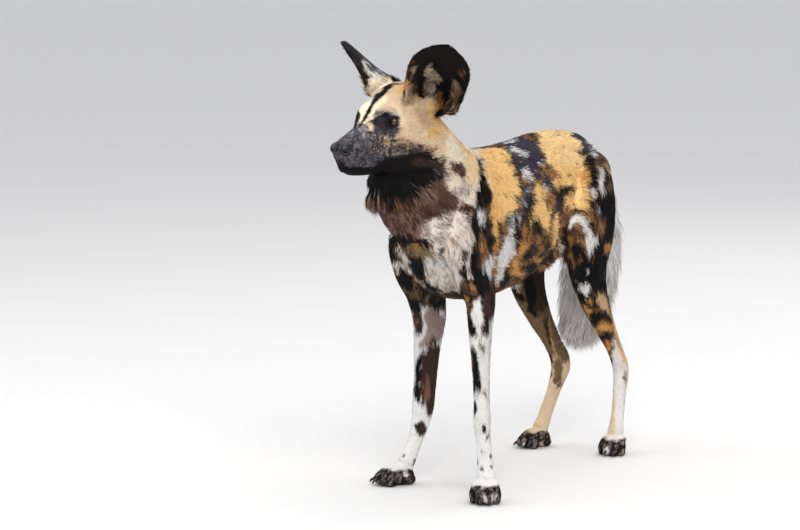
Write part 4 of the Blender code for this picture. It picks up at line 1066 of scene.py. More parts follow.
marks["side"] = [
    ("sand", [
        (457.3, 132.6, 3.4), (464.2, 143, 5.1), (468.8, 154.4, 5.7), (471.1, 168.2, 5.7),
        (468.8, 177.4, 3.9),
    ]),
    ("cream", [(456.1, 151, 3.4), (460.7, 157.9, 4.1)]),
    ("russet", [(450, 164, 4.2), (456, 168, 5.4)]),
    ("mahogany", [(452, 162.5, 2.2), (457.3, 165.2, 3.4), (458.4, 171.7, 3.4)]),
    ("orange", [(481.4, 152.1, 4.6), (489.4, 154.4, 8), (500.9, 157.9, 6.9)]),
    ("orange", [(483.7, 165.9, 4.1), (492.9, 168.2, 10.3), (505.5, 169.4, 6.9)]),
    ("orange", [(494, 184.3, 9.2), (506.7, 184.3, 10.3), (514.7, 188.9, 5.3)]),
    ("orange", [(496.3, 200.4, 8), (506.7, 202.7, 9.2), (515.8, 202.7, 3.4)]),
    ("orange", [(496.3, 214.1, 5.7), (503.2, 211.8, 4.6)]),
    ("deepOrange", [
        (489.4, 193.5, 2.8), (491.2, 207.3, 3.4), (492.9, 221, 3.4), (494.6, 231.4, 2.5),
        (495, 240.6, 1.6)]),
    ("black", [
        (477.4, 159, 1.4), (479.7, 169.4, 2.1), (480.8, 179.7, 3.2), (482, 188.9, 3.4),
        (482.6, 200.4, 3.9),
    ]),
    ("black", [(474.5, 208.4, 2.1), (472.2, 217.6, 3.4), (474.5, 226.8, 5.1), (483.7, 228.5, 3.9)]),
    ("black", [(486.6, 214.1, 2.8), (487.7, 223.3, 3)]),
    ("mahogany", [(477, 191.2, 2.3), (477.7, 199.2, 2.1)]),
    ("white", [(479.7, 208.4, 2.1), (480.8, 215.3, 3.7), (482, 221.6, 2.1)]),
    ("blueBlack", [
        (469.9, 147, 1.4), (482.6, 145.5, 1.4), (494, 144.3, 1.6), (504.4, 143, 4.6), (517, 140.1, 5.7),
        (523.9, 146.4, 6.9), (534.2, 146.4, 4.6)]),
    ("blueBlack", [(511.3, 148.7, 5.7), (519.3, 155.6, 6.9), (533.1, 154.4, 5.7)]),
    ("blueBlack", [(518.1, 164.8, 5.7), (528.5, 164.8, 5.7), (540, 159.6, 4.1)]),
    ("blueBlack", [(535.4, 174, 4.6), (544.6, 178.6, 4.6), (546.8, 185.4, 3.7)]),
    ("white", [(502.6, 143.5, 1.4), (511.3, 142.4, 1.6), (514.7, 141, 0.8)]),
    ("white", [(512.4, 150.1, 2.3), (518.7, 153.5, 3), (523.9, 154.7, 1.4)]),
    ("white", [(530.8, 164.3, 1.1), (539.4, 162.5, 1.3)]),
    ("white", [(520.4, 170.5, 1.4), (527.9, 172.6, 1.4)]),
    ("white", [(523.9, 174.5, 1.6), (530.2, 177.4, 0.9)]),
    ("white", [(542.3, 185.2, 1.3), (546.6, 189.1, 1.8)]),
    ("orange", [(535.4, 187.7, 3), (540, 193.5, 3.4), (537.7, 200.4, 3.4)]),
    ("frost", [(525, 188.9, 4.6), (526.2, 195.8, 5.1), (523.9, 205, 4.6)]),
    ("black", [(529.1, 194.6, 2.8), (528.5, 207.3, 3), (522.7, 210.7, 3)]),
    ("frost", [(519.3, 211.8, 2.8), (510.1, 218.7, 4.6), (506.7, 225.6, 3.4)]),
    ("orange", [(536.5, 207.3, 5.7), (543.4, 214.1, 5.1), (545.1, 223.3, 4.1)]),
    ("orange", [(528.5, 218.7, 2.8), (530.8, 223.3, 2.3)]),
    ("brindle", [(542.3, 169.4, 4.6), (552.6, 170.5, 5.1)]),
    ("black", [(534.2, 223.3, 4.4), (535.4, 229.1, 3.4)]),
    ("black", [(548, 227.9, 1.6), (543.4, 229.6, 0.9)]),
    ("soot", [(556.6, 205, 2.5), (554.9, 213, 2.3), (550.3, 211.8, 1.4)]),
    ("black", [(562.9, 188.9, 2.5), (558.3, 193.5, 2.5), (556, 200.4, 2.1)]),
    ("black", [(515.8, 233.7, 4.1), (517, 241.7, 2.5)]),
    ("black", [(523.9, 256.6, 4.1), (528.5, 253.2, 3)]),
    ("umberDark", [(542.3, 264.7, 6.9), (545.7, 257.8, 5.7), (540, 278.4, 8), (537.7, 292.2, 8)]),
    ("black", [(530.8, 268.1, 5.7), (528.5, 278.4, 5.7), (528.5, 288.8, 4.6)]),
    ("brown", [(556, 257.8, 5.1), (558.3, 267, 3.4)]),
    ("black", [(504.4, 277.3, 4.6), (500.9, 285.3, 3), (510.1, 287.6, 2.1)]),
    ("white", [
        (509, 230.2, 1.8), (508, 239.4, 4.8), (506.7, 248.6, 6.7), (500.9, 257.8, 5.3),
        (499.2, 267, 3.9), (497.5, 275, 2.8), (494.6, 284.2, 1.6)]),
    ("white", [(489.4, 255.5, 2.5), (487.1, 263.5, 5.5), (488.3, 271.5, 2.5)]),
    ("ochre", [(522.7, 242.8, 3.4), (519.3, 249.7, 3)]),
    ("ochre", [(513.6, 262.4, 4.6), (512.4, 270.4, 4.1), (519.3, 273.8, 3)]),
    ("ochre", [(538.2, 260.1, 2.3), (534.2, 258.9, 2.8)]),
    ("orange", [(554.7, 221, 2.1), (555.1, 234.8, 2.3), (552, 244, 2.3)]),
    ("warmWhite", [(558.3, 241.7, 1), (557.2, 250.9, 0.9)]),
    ("black", [(478, 234.8, 2.1), (488.3, 237.1, 2.5), (489.4, 248.6, 2.1)]),
    ("brindle", [(480.8, 234.8, 3.4), (482.6, 244, 4.6), (480.8, 253.2, 2.8)]),
    ("ochre", [(482, 240.6, 1.8), (480.8, 248.6, 1.6)]),
    ("black", [
        (473.9, 254.3, 2.5), (473.4, 264.7, 3), (478, 272.7, 5.7), (481.4, 283, 6.4),
        (469.9, 280.7, 3),
    ]),
    ("black", [(466.5, 289.9, 5.1), (478, 292.2, 5.7), (460.7, 296.8, 4.6)]),
    ("ochre", [(470.5, 284.2, 1.5), (470.8, 285.9, 1.4)]),
    ("ochre", [(464.8, 292.2, 1.6), (465.9, 293.9, 1.6)]),
    ("white", [(460.7, 280.7, 3.4), (461.9, 286.5, 1.8)]),
    ("brown", [(489.4, 289.9, 1.6), (488.3, 298, 2.1)]),
    ("warmWhite", [(517, 283, 1.6), (517.6, 289.9, 1.4)]),
]
marks["rump"] = [
    ("lightOrange", [(539.6, 133.2, 4.1), (552.2, 133.2, 4.6), (564.9, 133.2, 4.6)]),
    ("lightOrange", [(546.5, 144.1, 9.6), (562.6, 145.3, 11), (574, 144.1, 5.7)]),
    ("lightOrange", [(552.2, 156.7, 9.6), (564.9, 157.9, 10.3), (577.5, 157.9, 5.1)]),
    ("orange", [(554.5, 169.4, 5.7), (567.1, 170.5, 6.9), (577.5, 169.4, 5.7)]),
    ("orange", [(555.7, 182, 4.6), (563.7, 180.8, 4.1), (578.6, 182, 5.7)]),
    ("orange", [(579.8, 193.5, 5.7), (572.9, 202.7, 6.4), (580.9, 203.8, 4.6)]),
    ("orange", [(569.4, 194.6, 4.6), (567.1, 201.5, 4.6)]),
    ("ochre", [(582.1, 175.1, 4.1), (584.4, 185.4, 3)]),
    ("taupe", [(553.4, 136.1, 1.8), (556.8, 134.4, 1.1)]),
    ("brown", [(566, 173, 1.6), (567.7, 175.1, 1.1)]),
    ("brindle", [(545.3, 168.2, 4.1), (553.4, 174, 2.8)]),
    ("black", [(568.9, 185.4, 2.1), (562, 191.2, 3), (558.5, 200.4, 2.8)]),
    ("soot", [(555.7, 205, 4.1), (558.5, 210.7, 1.8)]),
    ("black", [(572.9, 203.8, 1.1), (575.2, 206.1, 0.9)]),
    ("blueBlack", [
        (572.9, 132.4, 2.3), (579.8, 138.4, 3), (584.4, 146.4, 3.9), (589, 153.3, 4.6),
        (594.7, 147.6, 2.8)]),
    ("white", [(585.5, 141.8, 1), (591.5, 143, 1.5)]),
    ("white", [(589, 147.8, 1.4), (594.5, 149.3, 1)]),
    ("white", [(590.1, 153.3, 1.4), (593, 153.9, 1.1)]),
    ("black", [(585.5, 157.9, 2.5), (587.8, 162.5, 4.1), (592.4, 161.3, 2.3)]),
    ("brown", [(594.7, 164.2, 2.1), (592.4, 165.9, 1.6)]),
    ("black", [(591.3, 170.5, 4.6), (591.3, 179.7, 5.1), (587.8, 188.9, 4.6)]),
    ("black", [
        (603.9, 170.5, 2.8), (608.5, 179.7, 4.1), (609.6, 191.2, 5.7), (611.9, 205, 5.7),
        (613.1, 217.6, 5.7), (609.6, 229.1, 5.1)]),
    ("brown", [(607.9, 185.4, 2.3), (608.5, 177.4, 1.6)]),
    ("tan", [(602.7, 161.9, 1.1), (608.5, 169.4, 1.4)]),
    ("black", [(597, 195.8, 5.1), (603.9, 199.2, 5.7), (601.6, 209.6, 5.7), (592.4, 200.4, 3.9)]),
    ("white", [(599.5, 168.2, 2.1), (599.9, 176.3, 2.5), (599.3, 184.3, 2.3), (602.2, 190.6, 1.6)]),
    ("white", [(588.7, 188.9, 2.5), (589.9, 193.5, 2.8)]),
    ("taupe", [(594.1, 202.1, 1.1), (599.3, 202.9, 0.9)]),
    ("paleGrey", [(594.7, 208.4, 1.1), (597.6, 209, 0.9)]),
    ("brindle", [(590.1, 216.4, 2.8), (598.1, 218.7, 3.9), (605, 224.5, 3.4)]),
    ("ochre", [(602.7, 219.3, 1.8), (602.2, 221.6, 1.4)]),
    ("black", [(590.1, 222.2, 2.8), (594.7, 226.8, 2.3)]),
    ("ochre", [(608.5, 242.8, 3), (606.2, 247.4, 2.1)]),
    ("black", [(575.2, 240.6, 3), (577.5, 250.9, 5.1), (580.9, 261.2, 5.7), (584.4, 269.3, 6.9)]),
    ("black", [
        (600.4, 241.7, 3), (599.3, 252, 5.7), (602.7, 262.4, 6.9), (594.7, 272.7, 8),
        (599.3, 283, 7.3),
    ]),
    ("black", [(583.2, 277.3, 5.7), (580.9, 285.3, 5.7), (586.7, 296.8, 6.9)]),
    ("brown", [(578.6, 258.3, 2.5), (580.4, 260.6, 1.6)]),
    ("brown", [(590.1, 260.1, 1.8), (591.3, 262.9, 1.4)]),
    ("white", [
        (570, 227.3, 1.6), (571.2, 221.6, 2.5), (577.5, 218.2, 3), (582.3, 220.5, 3.4),
        (585.1, 227.3, 3.9), (589, 233.7, 4.8), (589, 241.7, 4.6), (588.4, 249.7, 3.2),
        (595.3, 236, 2.5)]),
    ("brindle", [(576.9, 229.1, 3), (579.2, 234.8, 2.5)]),
    ("ochre", [(578.4, 230.2, 1.1), (579.5, 233.7, 1)]),
    ("white", [(587.5, 268.7, 1.5), (587.8, 270.4, 1)]),
    ("white", [(579.8, 284.2, 2.1), (585.3, 286.5, 4.6), (586.1, 291.1, 3)]),
    ("tan", [(599.3, 298, 3.4), (602.7, 299.1, 2.3)]),
    ("orange", [(539.6, 205, 4.6), (545.3, 214.1, 4.6), (541.9, 221, 4.1)]),
    ("orange", [(554.7, 214.1, 1.6), (553.9, 225.6, 2.1), (554.5, 237.1, 2.1)]),
    ("black", [(538.4, 223.9, 2.5), (537.3, 226.8, 2.3)]),
    ("soot", [(550.5, 211.8, 1.6), (549.4, 218.7, 1.4)]),
    ("brown", [(563.1, 215.3, 3), (565.1, 219.9, 1.8)]),
    ("black", [(563.7, 229.1, 1.8), (565.1, 241.7, 2.1)]),
    ("warmWhite", [(558.2, 244, 1), (557, 252, 0.9)]),
    ("tan", [(558.5, 256.6, 2.8), (556.2, 265.8, 2.8)]),
]
marks["foreRight"] = [
    ("black", [(395.2, 274.6, 3.1), (401.3, 282.2, 4.6), (405.9, 279.2, 6.7)]),
    ("umberDark", [(409, 293, 7.7), (427.4, 293, 12.2), (439.6, 299.1, 7.7)]),
    ("black", [(410.5, 300.6, 4.6), (416.6, 308.3, 5.5)]),
    ("black", [(445.7, 299.1, 6.1), (436.5, 306.7, 3.1)]),
    ("taupe", [(448, 305.2, 2.8), (446.5, 314.4, 2.4)]),
    ("taupe", [(431.9, 315.9, 8.3), (436.5, 323.6, 8.3), (433.5, 334.3, 7.7), (422.8, 345, 3.7)]),
    ("darkBrown", [(415.1, 312.9, 3.4), (418.2, 320.5, 4.6), (420, 329.7, 3.1)]),
    ("brown", [(416.6, 320.5, 1.8), (417.6, 322.8, 1.5)]),
    ("black", [(444.5, 323.9, 1.1), (442.7, 328.2, 1.2)]),
    ("darkBrown", [(433.5, 339.2, 3.1), (435, 340.4, 2.4)]),
    ("darkBrown", [(429.6, 346.5, 3.7), (436.5, 348.1, 4.6)]),
    ("darkBrown", [(427.4, 358.8, 9.2), (433.5, 361.8, 7.7)]),
    ("darkBrown", [(423.5, 374.1, 8.6), (429.6, 377.1, 8.3)]),
    ("darkBrown", [(422, 389.4, 7), (429.6, 392.5, 6.7)]),
    ("darkBrown", [(427.4, 403.2, 5.5), (431.2, 404.7, 4.3)]),
    ("mahogany", [(428.9, 412.4, 3.7), (430.7, 407.8, 3.4)]),
    ("darkBrown", [(437, 350, 5), (436, 372, 5), (434, 392, 5), (432, 408, 4)]),
    ("taupe", [(440, 318, 5), (439, 334, 4.5)]),
    ("black", [
        (420, 358.8, 2.1), (416.9, 374.1, 2.1), (416, 386.3, 2.6), (418.2, 397, 2.9),
        (422, 404.7, 1.8),
    ]),
    ("brown", [(427.4, 386.3, 3.4), (428.1, 397, 2.8)]),
    ("brown", [(428.1, 375.6, 1.8), (428.9, 380.2, 1.8)]),
    ("darkBrown", [(420.5, 423.8, 4.3), (422.5, 430.7, 4.9)]),
    ("black", [(416.3, 425.4, 2.8), (417.4, 427.7, 2.1)]),
    ("black", [(404.4, 455.2, 1.1), (404.2, 456.7, 0.9)]),
    ("black", [(418.5, 455.7, 1.1), (418.2, 457.1, 0.9)]),
    ("black", [(414.5, 460.6, 1.1), (414.2, 462.6, 1.1)]),
]
marks["foreLeft"] = [
    ("darkBrindle", [(461, 293, 5.2), (467.1, 283.8, 7.7), (470.2, 296, 7.7), (467.1, 306.7, 6.1)]),
    ("black", [(479.4, 279.2, 7.7), (482.5, 286.8, 6.1)]),
    ("ochre", [(471, 284.1, 2), (471.3, 285.3, 1.8)]),
    ("ochre", [(465.6, 297.9, 2), (467.1, 296.8, 1.8)]),
    ("mahogany", [(487.4, 294.5, 3.1), (487.4, 306.7, 3.7), (485.8, 317.5, 4.6), (485.5, 329.7, 4.6)]),
    ("white", [(477.6, 299.1, 3.1), (477.6, 309.8, 4), (480.9, 320.5, 3.7)]),
    ("white", [(472.5, 311.6, 1.8), (476.3, 313.6, 2.1)]),
    ("black", [(467.1, 315.9, 3.4), (470.5, 322, 3.1), (473.3, 331.2, 3.7)]),
    ("black", [(487.4, 315.9, 1.2), (488, 328.2, 1.2)]),
    ("darkBrown", [(480.2, 343.2, 2.8), (484.3, 348.8, 2)]),
    ("tan", [(480.5, 344.1, 1.1), (481.2, 345, 0.9)]),
    ("black", [
        (473, 346.5, 1.8), (474.8, 358.8, 3.1), (475.9, 371, 3.7), (477.1, 383.3, 4.3),
        (476.6, 390.2, 3.1),
    ]),
    ("brown", [(471.4, 358.8, 1.2), (472, 368, 1.1)]),
    ("brown", [(482.8, 390.2, 0.9), (485.8, 392.5, 1.1), (487, 396.3, 0.9)]),
    ("black", [(474.8, 405.5, 2.3), (474.8, 412.4, 2)]),
    ("black", [(474, 400.1, 1.1), (474.2, 401.6, 1.1)]),
    ("black", [(484.3, 424.3, 1.8), (484.8, 430, 1.8)]),
    ("darkBrown", [(487.8, 436.5, 1.5), (485.8, 438.4, 1.2)]),
    ("darkBrown", [(481.7, 451.4, 1.4), (483.2, 451.8, 1.2)]),
    ("darkBrown", [(490.1, 454.9, 1.4), (490.4, 457.1, 1.1)]),
    ("darkBrown", [(476, 459.8, 1.4), (476.9, 462.1, 1.4)]),
    ("darkBrown", [(481.7, 467.2, 1.5), (482.1, 468.7, 1.4)]),
    ("darkBrown", [(490.1, 465.6, 1.1), (490.7, 466.5, 0.9)]),
    ("darkBrown", [(472.5, 438.4, 0.8), (472.7, 439.3, 0.8)]),
]
marks["hindRight"] = [
    ("black", [(517.4, 293.5, 4), (521.4, 297.5, 3.2)]),
    ("black", [(530.8, 280.1, 6.7), (529.5, 294.8, 5.4), (532.1, 306.9, 6.2), (535.1, 313.6, 2.9)]),
    ("darkBrown", [(540.2, 273.4, 8), (542.9, 286.8, 6.7), (540.2, 304.2, 6.7)]),
    ("umber", [(524.8, 310.9, 3.2), (532.1, 322.9, 6.2), (538.8, 336.3, 5.9), (544.2, 345.7, 5.4)]),
    ("umber", [
        (550.9, 320.3, 2.7), (554.9, 329.6, 3.2), (558.9, 340.4, 3.2), (562.3, 351.1, 3.2),
        (565, 360.4, 2.1)]),
    ("darkBrown", [(545.5, 318.9, 3.2), (548.2, 332.3, 2.7), (551.6, 343, 2.1)]),
    ("tan", [
        (548.9, 317.6, 0.5), (550.9, 335, 0.5), (553.6, 347, 0.7), (557.6, 359.1, 0.7),
        (562.3, 367.1, 0.7),
    ]),
    ("black", [(534.2, 335, 1.3), (544.2, 353.7, 2.9), (548.2, 356.4, 3.5), (549.8, 361.8, 2.7)]),
    ("black", [(549.3, 368.5, 2.7), (549.6, 374.5, 2.7)]),
    ("umber", [(557.6, 364.5, 4.8), (557.9, 373.8, 4.6)]),
    ("brown", [(555.6, 380.5, 3.2), (558.9, 379.2, 3.2)]),
    ("darkBrown", [(558.3, 384.8, 2.4), (561.6, 384.5, 1.6)]),
]
marks["hindLeft"] = [
    ("black", [(585.7, 270.7, 12.1), (592.4, 278.7, 10.7), (583, 276.1, 6.7)]),
    ("white", [(587.3, 269.6, 1.6), (588.4, 271.2, 1.1)]),
    ("white", [(580.1, 285.4, 2.4), (585.4, 287.1, 5.1), (585.7, 291.6, 2.9)]),
    ("ochreMix", [(588.4, 300.2, 4), (587, 306.9, 3.5), (593.7, 305.5, 3.2)]),
    ("tan", [(601.8, 295.1, 3.5), (604.5, 304.2, 4.6), (607.1, 309.6, 2.7)]),
    ("black", [(593.7, 297.5, 1.6), (595.1, 304.2, 2.1)]),
    ("black", [(595.1, 316.2, 5.6), (604.5, 313.6, 2.9), (609.8, 318.9, 2.1)]),
    ("ochre", [(595.8, 327.6, 2.4), (605.8, 325.6, 2.9), (611.2, 327, 1.9)]),
    ("black", [(599.8, 336.3, 2.7), (605.8, 334.3, 3.5)]),
    ("brown", [(605.8, 343, 4.8), (609.8, 352.4, 3.7)]),
    ("ochre", [(607.1, 341.7, 1.9), (608.5, 347, 1.6)]),
    ("darkBrown", [(610.1, 359.1, 2.9), (609.8, 367.1, 2), (609.8, 376.5, 1.2)]),
    ("white", [
        (616.2, 353.7, 1.6), (616.8, 361.8, 2.9), (619.2, 375.2, 3.7), (619.2, 388.6, 3.7),
        (620.5, 402, 4.3), (621.2, 415.4, 4.3), (621.2, 427.4, 3.7), (620.5, 436.8, 2.9)]),
    ("beige", [
        (611.4, 380.5, 1.1), (612.8, 393.9, 1.9), (611.8, 407.3, 2.4), (611.8, 420.7, 2.9),
        (611.8, 432.8, 2.9)]),
    ("darkBrown", [(610.4, 380.5, 0.7), (610.8, 389.9, 0.5)]),
    ("gold", [
        (613.2, 310.9, 1.6), (614.6, 324.3, 1.9), (617.9, 337.7, 2.1), (621.9, 351.1, 2.1),
        (625.2, 361.8, 1.6)]),
    ("white", [(613.8, 336.3, 0.8), (616, 349.7, 1.2)]),
    ("black", [(623.5, 377.9, 1.1), (625.1, 371.8, 0.7), (625.4, 381.2, 0.8)]),
]
marks["feet"] = [
    ("pawMix", [
        (376.8, 482.8, 5.5), (387.6, 479.7, 7), (396.7, 484.3, 6.1), (407.5, 482.8, 6.7),
        (412.8, 479.7, 4.6)]),
    ("white", [(404.4, 473.6, 1.8), (407.8, 475.9, 1.1)]),
    ("grey", [(389.1, 485.1, 1.1), (390.6, 482, 0.9)]),
    ("grey", [(377.6, 483.5, 0.9), (378.4, 482, 0.8)]),
    ("taupe", [(400.1, 476.9, 1.2), (399, 481.2, 0.9)]),
    ("pawMix", [
        (477.9, 488.9, 3.4), (480.9, 495, 5.5), (490.1, 496.5, 6.1), (497.8, 490.4, 5.2),
        (500.8, 498.1, 3.7)]),
    ("white", [(487.8, 482.8, 2.4), (488.3, 486.1, 1.2)]),
    ("white", [(484.9, 496.2, 0.8), (484.8, 502.7, 1.2)]),
    ("white", [(491.9, 495, 0.8), (492.6, 501.9, 1.1)]),
    ("white", [(496.7, 495, 0.6), (496.2, 499.6, 0.6)]),
]
marks["hindFeet"] = [
    ("pawMix", [(518.7, 446.2, 3.2), (524.1, 440.1, 4.3), (532.1, 442.1, 5.9), (541.5, 435.4, 5.1)]),
    ("black", [(548.2, 438.8, 1.6), (550.4, 435.4, 0.9)]),
    ("white", [(524.4, 442.8, 0.9), (522.1, 446.8, 0.8)]),
    ("grey", [(535.1, 444.1, 1.1), (533.5, 447.5, 0.8)]),
    ("beige", [(541.8, 443.5, 2.1), (541.8, 451.5, 1.2)]),
    ("pawMix", [(599.1, 447.5, 3.5), (605.8, 444.8, 5.4), (615.2, 446.2, 5.4), (620.5, 443.5, 3.2)]),
    ("black", [(603.1, 458.2, 3.2), (616.5, 456.9, 2.7)]),
    ("black", [(625.4, 443.5, 0.7), (625.1, 447.5, 0.7)]),
    ("white", [(607.1, 450.8, 2.9), (607.1, 456.9, 1.6)]),
    ("beige", [(621.2, 452.8, 1.3), (622.5, 449.5, 0.9)]),
]
# What lies under the strokes, from the floor up: (height, colour).
baseOf = {
    "head": ((0, "beige"),), "neck": ((0, "warmWhite"), (0.62, "cream"), (0.72, "sand")),
    "trunk": ((0, "brindle"),), "tail": ((0, "white"), (0.60, "black")),
    "earLeft": ((0, "black"),), "earRight": ((0, "black"),),
    "foreLeft": ((0, "pawMix"), (0.034, "white"), (0.375, "darkBrindle")),
    "foreRight": ((0, "pawMix"), (0.034, "white"), (0.400, "umberDark")),
    "hindLeft": ((0, "pawMix"), (0.034, "warmWhite"), (0.235, "brindle"), (0.330, "darkBrindle")),
    "hindRight": ((0, "pawMix"), (0.034, "beige"), (0.190, "umber"), (0.420, "umberDark")),
}
# Seeded patches for the sides of the legs and trunk that the picture doesn't show.
patches = {
    "foreLeft": (20, ("black", "darkBrown", "brown", "darkBrown")),
    "foreRight": (20, ("black", "darkBrown", "brown", "white")),
    "hindLeft": (18, ("black", "brindle", "white", "darkBrown", "ochre")),
    "hindRight": (18, ("black", "brindle", "white", "darkBrown", "ochre")),
    "trunk": (16, ("black", "orange", "blueBlack", "white", "brindle")),
}
patch = {
    "above": 0.04, "sizes": (0.004, 0.011), "bodyAbove": 0.35, "bodySize": 2.0,
    "stretch": (0.3, 2.2), "end": 0.8, "softness": 0.004,
}
# How far the hairs of two colours mix at the edge of a mark.
softness = {
    "head": 0.008, "brow": 0.002, "ears": 0.004, "earBack": 0.005, "neck": 0.008, "ruff": 0.012,
    "chest": 0.004, "side": 0.007, "rump": 0.005, "foreRight": 0.003, "foreLeft": 0.003,
    "hindRight": 0.005, "hindLeft": 0.004, "feet": 0.003, "hindFeet": 0.003,
}
# The marks that the far side repeats, and how far they are shifted there.
farMarks = {
    "head": 0.0, "ears": 0.0, "earBack": 0.0, "neck": 0.0, "ruff": 0.0, "chest": 0.012,
    "side": 0.025, "rump": 0.012,
}
farZone = {0: 0, 1: 3, 2: 4, 3: 1, 4: 2}  # body, then inside and outside of each ear
painting = {
    "layers": 4, "seed": 6, "patchSeed": 4,
    "warps": ((0.014, 20, 0.0030), (0.005, 30, 0.0016)),  # size, seed, depth
    "bands": (0.030, 40, 0.022), "bandMixing": 0.020,
    "pawTop": 0.05, "pawMixing": 0.004,
    "muzzleFrom": 0.042, "muzzleMixing": 0.016, "chinBelow": -0.078, "chinMixing": 0.010,
    "edge": 0.0012,  # over which a mark fades
    "facing": 0.03,  # least turn to the camera of skin that takes a stroke as it is pictured
    "probes": (  # picture points tried where a stroke just misses the skin
        (0, 0), (1, 0), (-1, 0), (0, 1), (0, -1), (2.5, 0), (-2.5, 0), (0, 2.5), (0, -2.5),
        (5, 0), (-5, 0),
    ),
    "breakAt": 3.5, "breakSlack": 0.02,
    "eyeRings": (  # colour, middle from the eye, stretch, mixing, reach
        ("soot", (0.011, 0.0, 0.0005), (1.95, 1.05, 1.0), 0.003, 0.0175),
        ("black", (0.006, 0.0, 0.0015), (1.60, 1.05, 0.90), 0.004, 0.0150),
    ),
}


def hitSkin(x, y):
    for dx, dy in painting["probes"]:
        spot, _, index, far = skinTree.ray_cast(cameraAt, rayThrough(x + dx, y + dy))
        if spot is not None:
            return np.array(spot), index, far
    return None, None, None


def strokeField(points, spots, radii):
    nearest = np.full(len(points), farOff)
    for i in range(max(1, len(spots) - 1)):
        j = min(i + 1, len(spots) - 1)
        a, ab, ra, rb = spots[i], spots[j] - spots[i], radii[i], radii[j]
        t = np.clip(((points - a) @ ab) / max(1e-12, ab @ ab), 0, 1)
        d = np.linalg.norm(points - a - t[:, None] * ab, axis=1) - (ra + t * (rb - ra))
        nearest = np.minimum(nearest, d)
    return nearest


def thrown(stroke):
    runs, last = [], None
    for x, y, r in stroke:
        spot, index, far = hitSkin(x, y)
        if spot is None:
            continue
        zone = int(skin["zone"][skin["tris"][index][0]])
        metres = far / lens["focalPixels"]
        apart = last is None or zone != last[3]
        if not apart:  # a stroke that runs off onto something behind is broken there
            expected = painting["breakAt"] * metres * math.hypot(x - last[0], y - last[1])
            apart = np.linalg.norm(spot - last[2]) > expected + painting["breakSlack"]
        if apart:
            runs.append(([], [], zone, metres))
        runs[-1][0].append(spot)
        runs[-1][1].append(r * metres)
        last = (x, y, spot, zone)
    return [(np.array(spots), np.array(radii), zone, metres) for spots, radii, zone, metres in runs]


def onFarSide(group, spots, zone, shift):
    if zone:  # the same row and column of the other ear
        points, count = skin["points"], skin["earCount"]
        move = count if zone < 3 else -count
        own = np.nonzero(skin["zone"] == zone)[0]
        return [points[own[np.linalg.norm(points[own] - spot, axis=1).argmin()] + move] for spot in spots]
    if group == "head":
        moved = fromHead(toHead(spots) * np.array((1, -1, 1)))
    else:
        d = toDog(spots)
        middle = 0.0
        if group in ("neck", "ruff", "chest"):
            sides, ups = [row[1] for row in neck["rows"]], [row[2] for row in neck["rows"]]
            middle = np.interp(d[:, 2], ups, sides)
        moved = toRow(np.stack([d[:, 0] + shift[0], 2 * middle - d[:, 1], d[:, 2] + shift[1]], 1))
    return [np.array(skinTree.find_nearest(Vector(spot))[0]) for spot in moved]


def newPaint():
    points = skin["points"]
    rng = np.random.default_rng(painting["seed"])
    grit = rng.uniform(-0.5, 0.5, (painting["layers"], len(points)))
    warp = np.zeros_like(points)
    for size, seed, depth in painting["warps"]:
        warp += np.stack([noise(points, size, seed + c) for c in range(3)], 1) * depth
    bent = points + warp
    facing = (skin["normals"] * unit(np.array(cameraAt) - points)).sum(1)
    return {
        "layers": np.zeros((*grit.shape, 3)), "grit": grit, "warp": warp, "bent": bent,
        "facing": facing, "flat": pictured(bent),
    }


def cover(paint, name, own, share):
    layers = paint["layers"]
    tones = colourOf(name, skin["points"][own], paint["grit"][:, own])
    layers[:, own] = layers[:, own] * (1 - share[..., None]) + tones * share[..., None]


def lay(paint, name, spots, radii, where, soft, stroke=None, metres=0.0):
    spots, radii = np.array(spots), np.array(radii)
    bent = paint["bent"]
    reach = 2.2 * radii.max() + 0.012
    low, high = spots.min(0) - reach, spots.max(0) + reach
    near = np.nonzero(where & ((bent > low) & (bent < high)).all(1))[0]
    if not len(near):
        return
    d = strokeField(bent[near], spots, radii)
    if stroke:  # as it looks in the picture, on skin that faces the camera
        turned = (paint["facing"][near] > painting["facing"]) & (d < 1.2 * radii.max() + 0.010)
        middles = np.array([(x, y) for x, y, r in stroke])
        widths = [r for x, y, r in stroke]
        d[turned] = strokeField(paint["flat"][near[turned]], middles, widths) * metres
    share = np.clip(0.5 - (d + soft * paint["grit"][:, near]) / painting["edge"], 0, 1)
    cover(paint, name, near, share)


def paintBase(paint):
    points, grit, warp = skin["points"], paint["grit"], paint["warp"]
    size, seed, depth = painting["bands"]
    uneven = points[:, 2] + depth * noise(points, size, seed) + 2 * warp[:, 2]
    for k, name in enumerate(parts):
        own = np.nonzero(skin["label"] == k)[0]
        for height, tone in baseOf[name]:
            low = height < painting["pawTop"]
            level = points[own, 2] + warp[own, 2] if low else uneven[own]
            mixing = painting["pawMixing"] if low else painting["bandMixing"]
            share = (level + mixing * grit[:, own] >= (height or -1)).astype(float)
            cover(paint, tone, own, share)
    own = np.nonzero(skin["label"] == 0)[0]
    h = toHead(paint["bent"][own])
    muzzle = h[:, 0] + painting["muzzleMixing"] * grit[:, own] > painting["muzzleFrom"]
    chin = h[:, 2] + painting["chinMixing"] * grit[:, own] < painting["chinBelow"]
    cover(paint, "sootMix", own, muzzle.astype(float))
    cover(paint, "black", own, chin.astype(float))


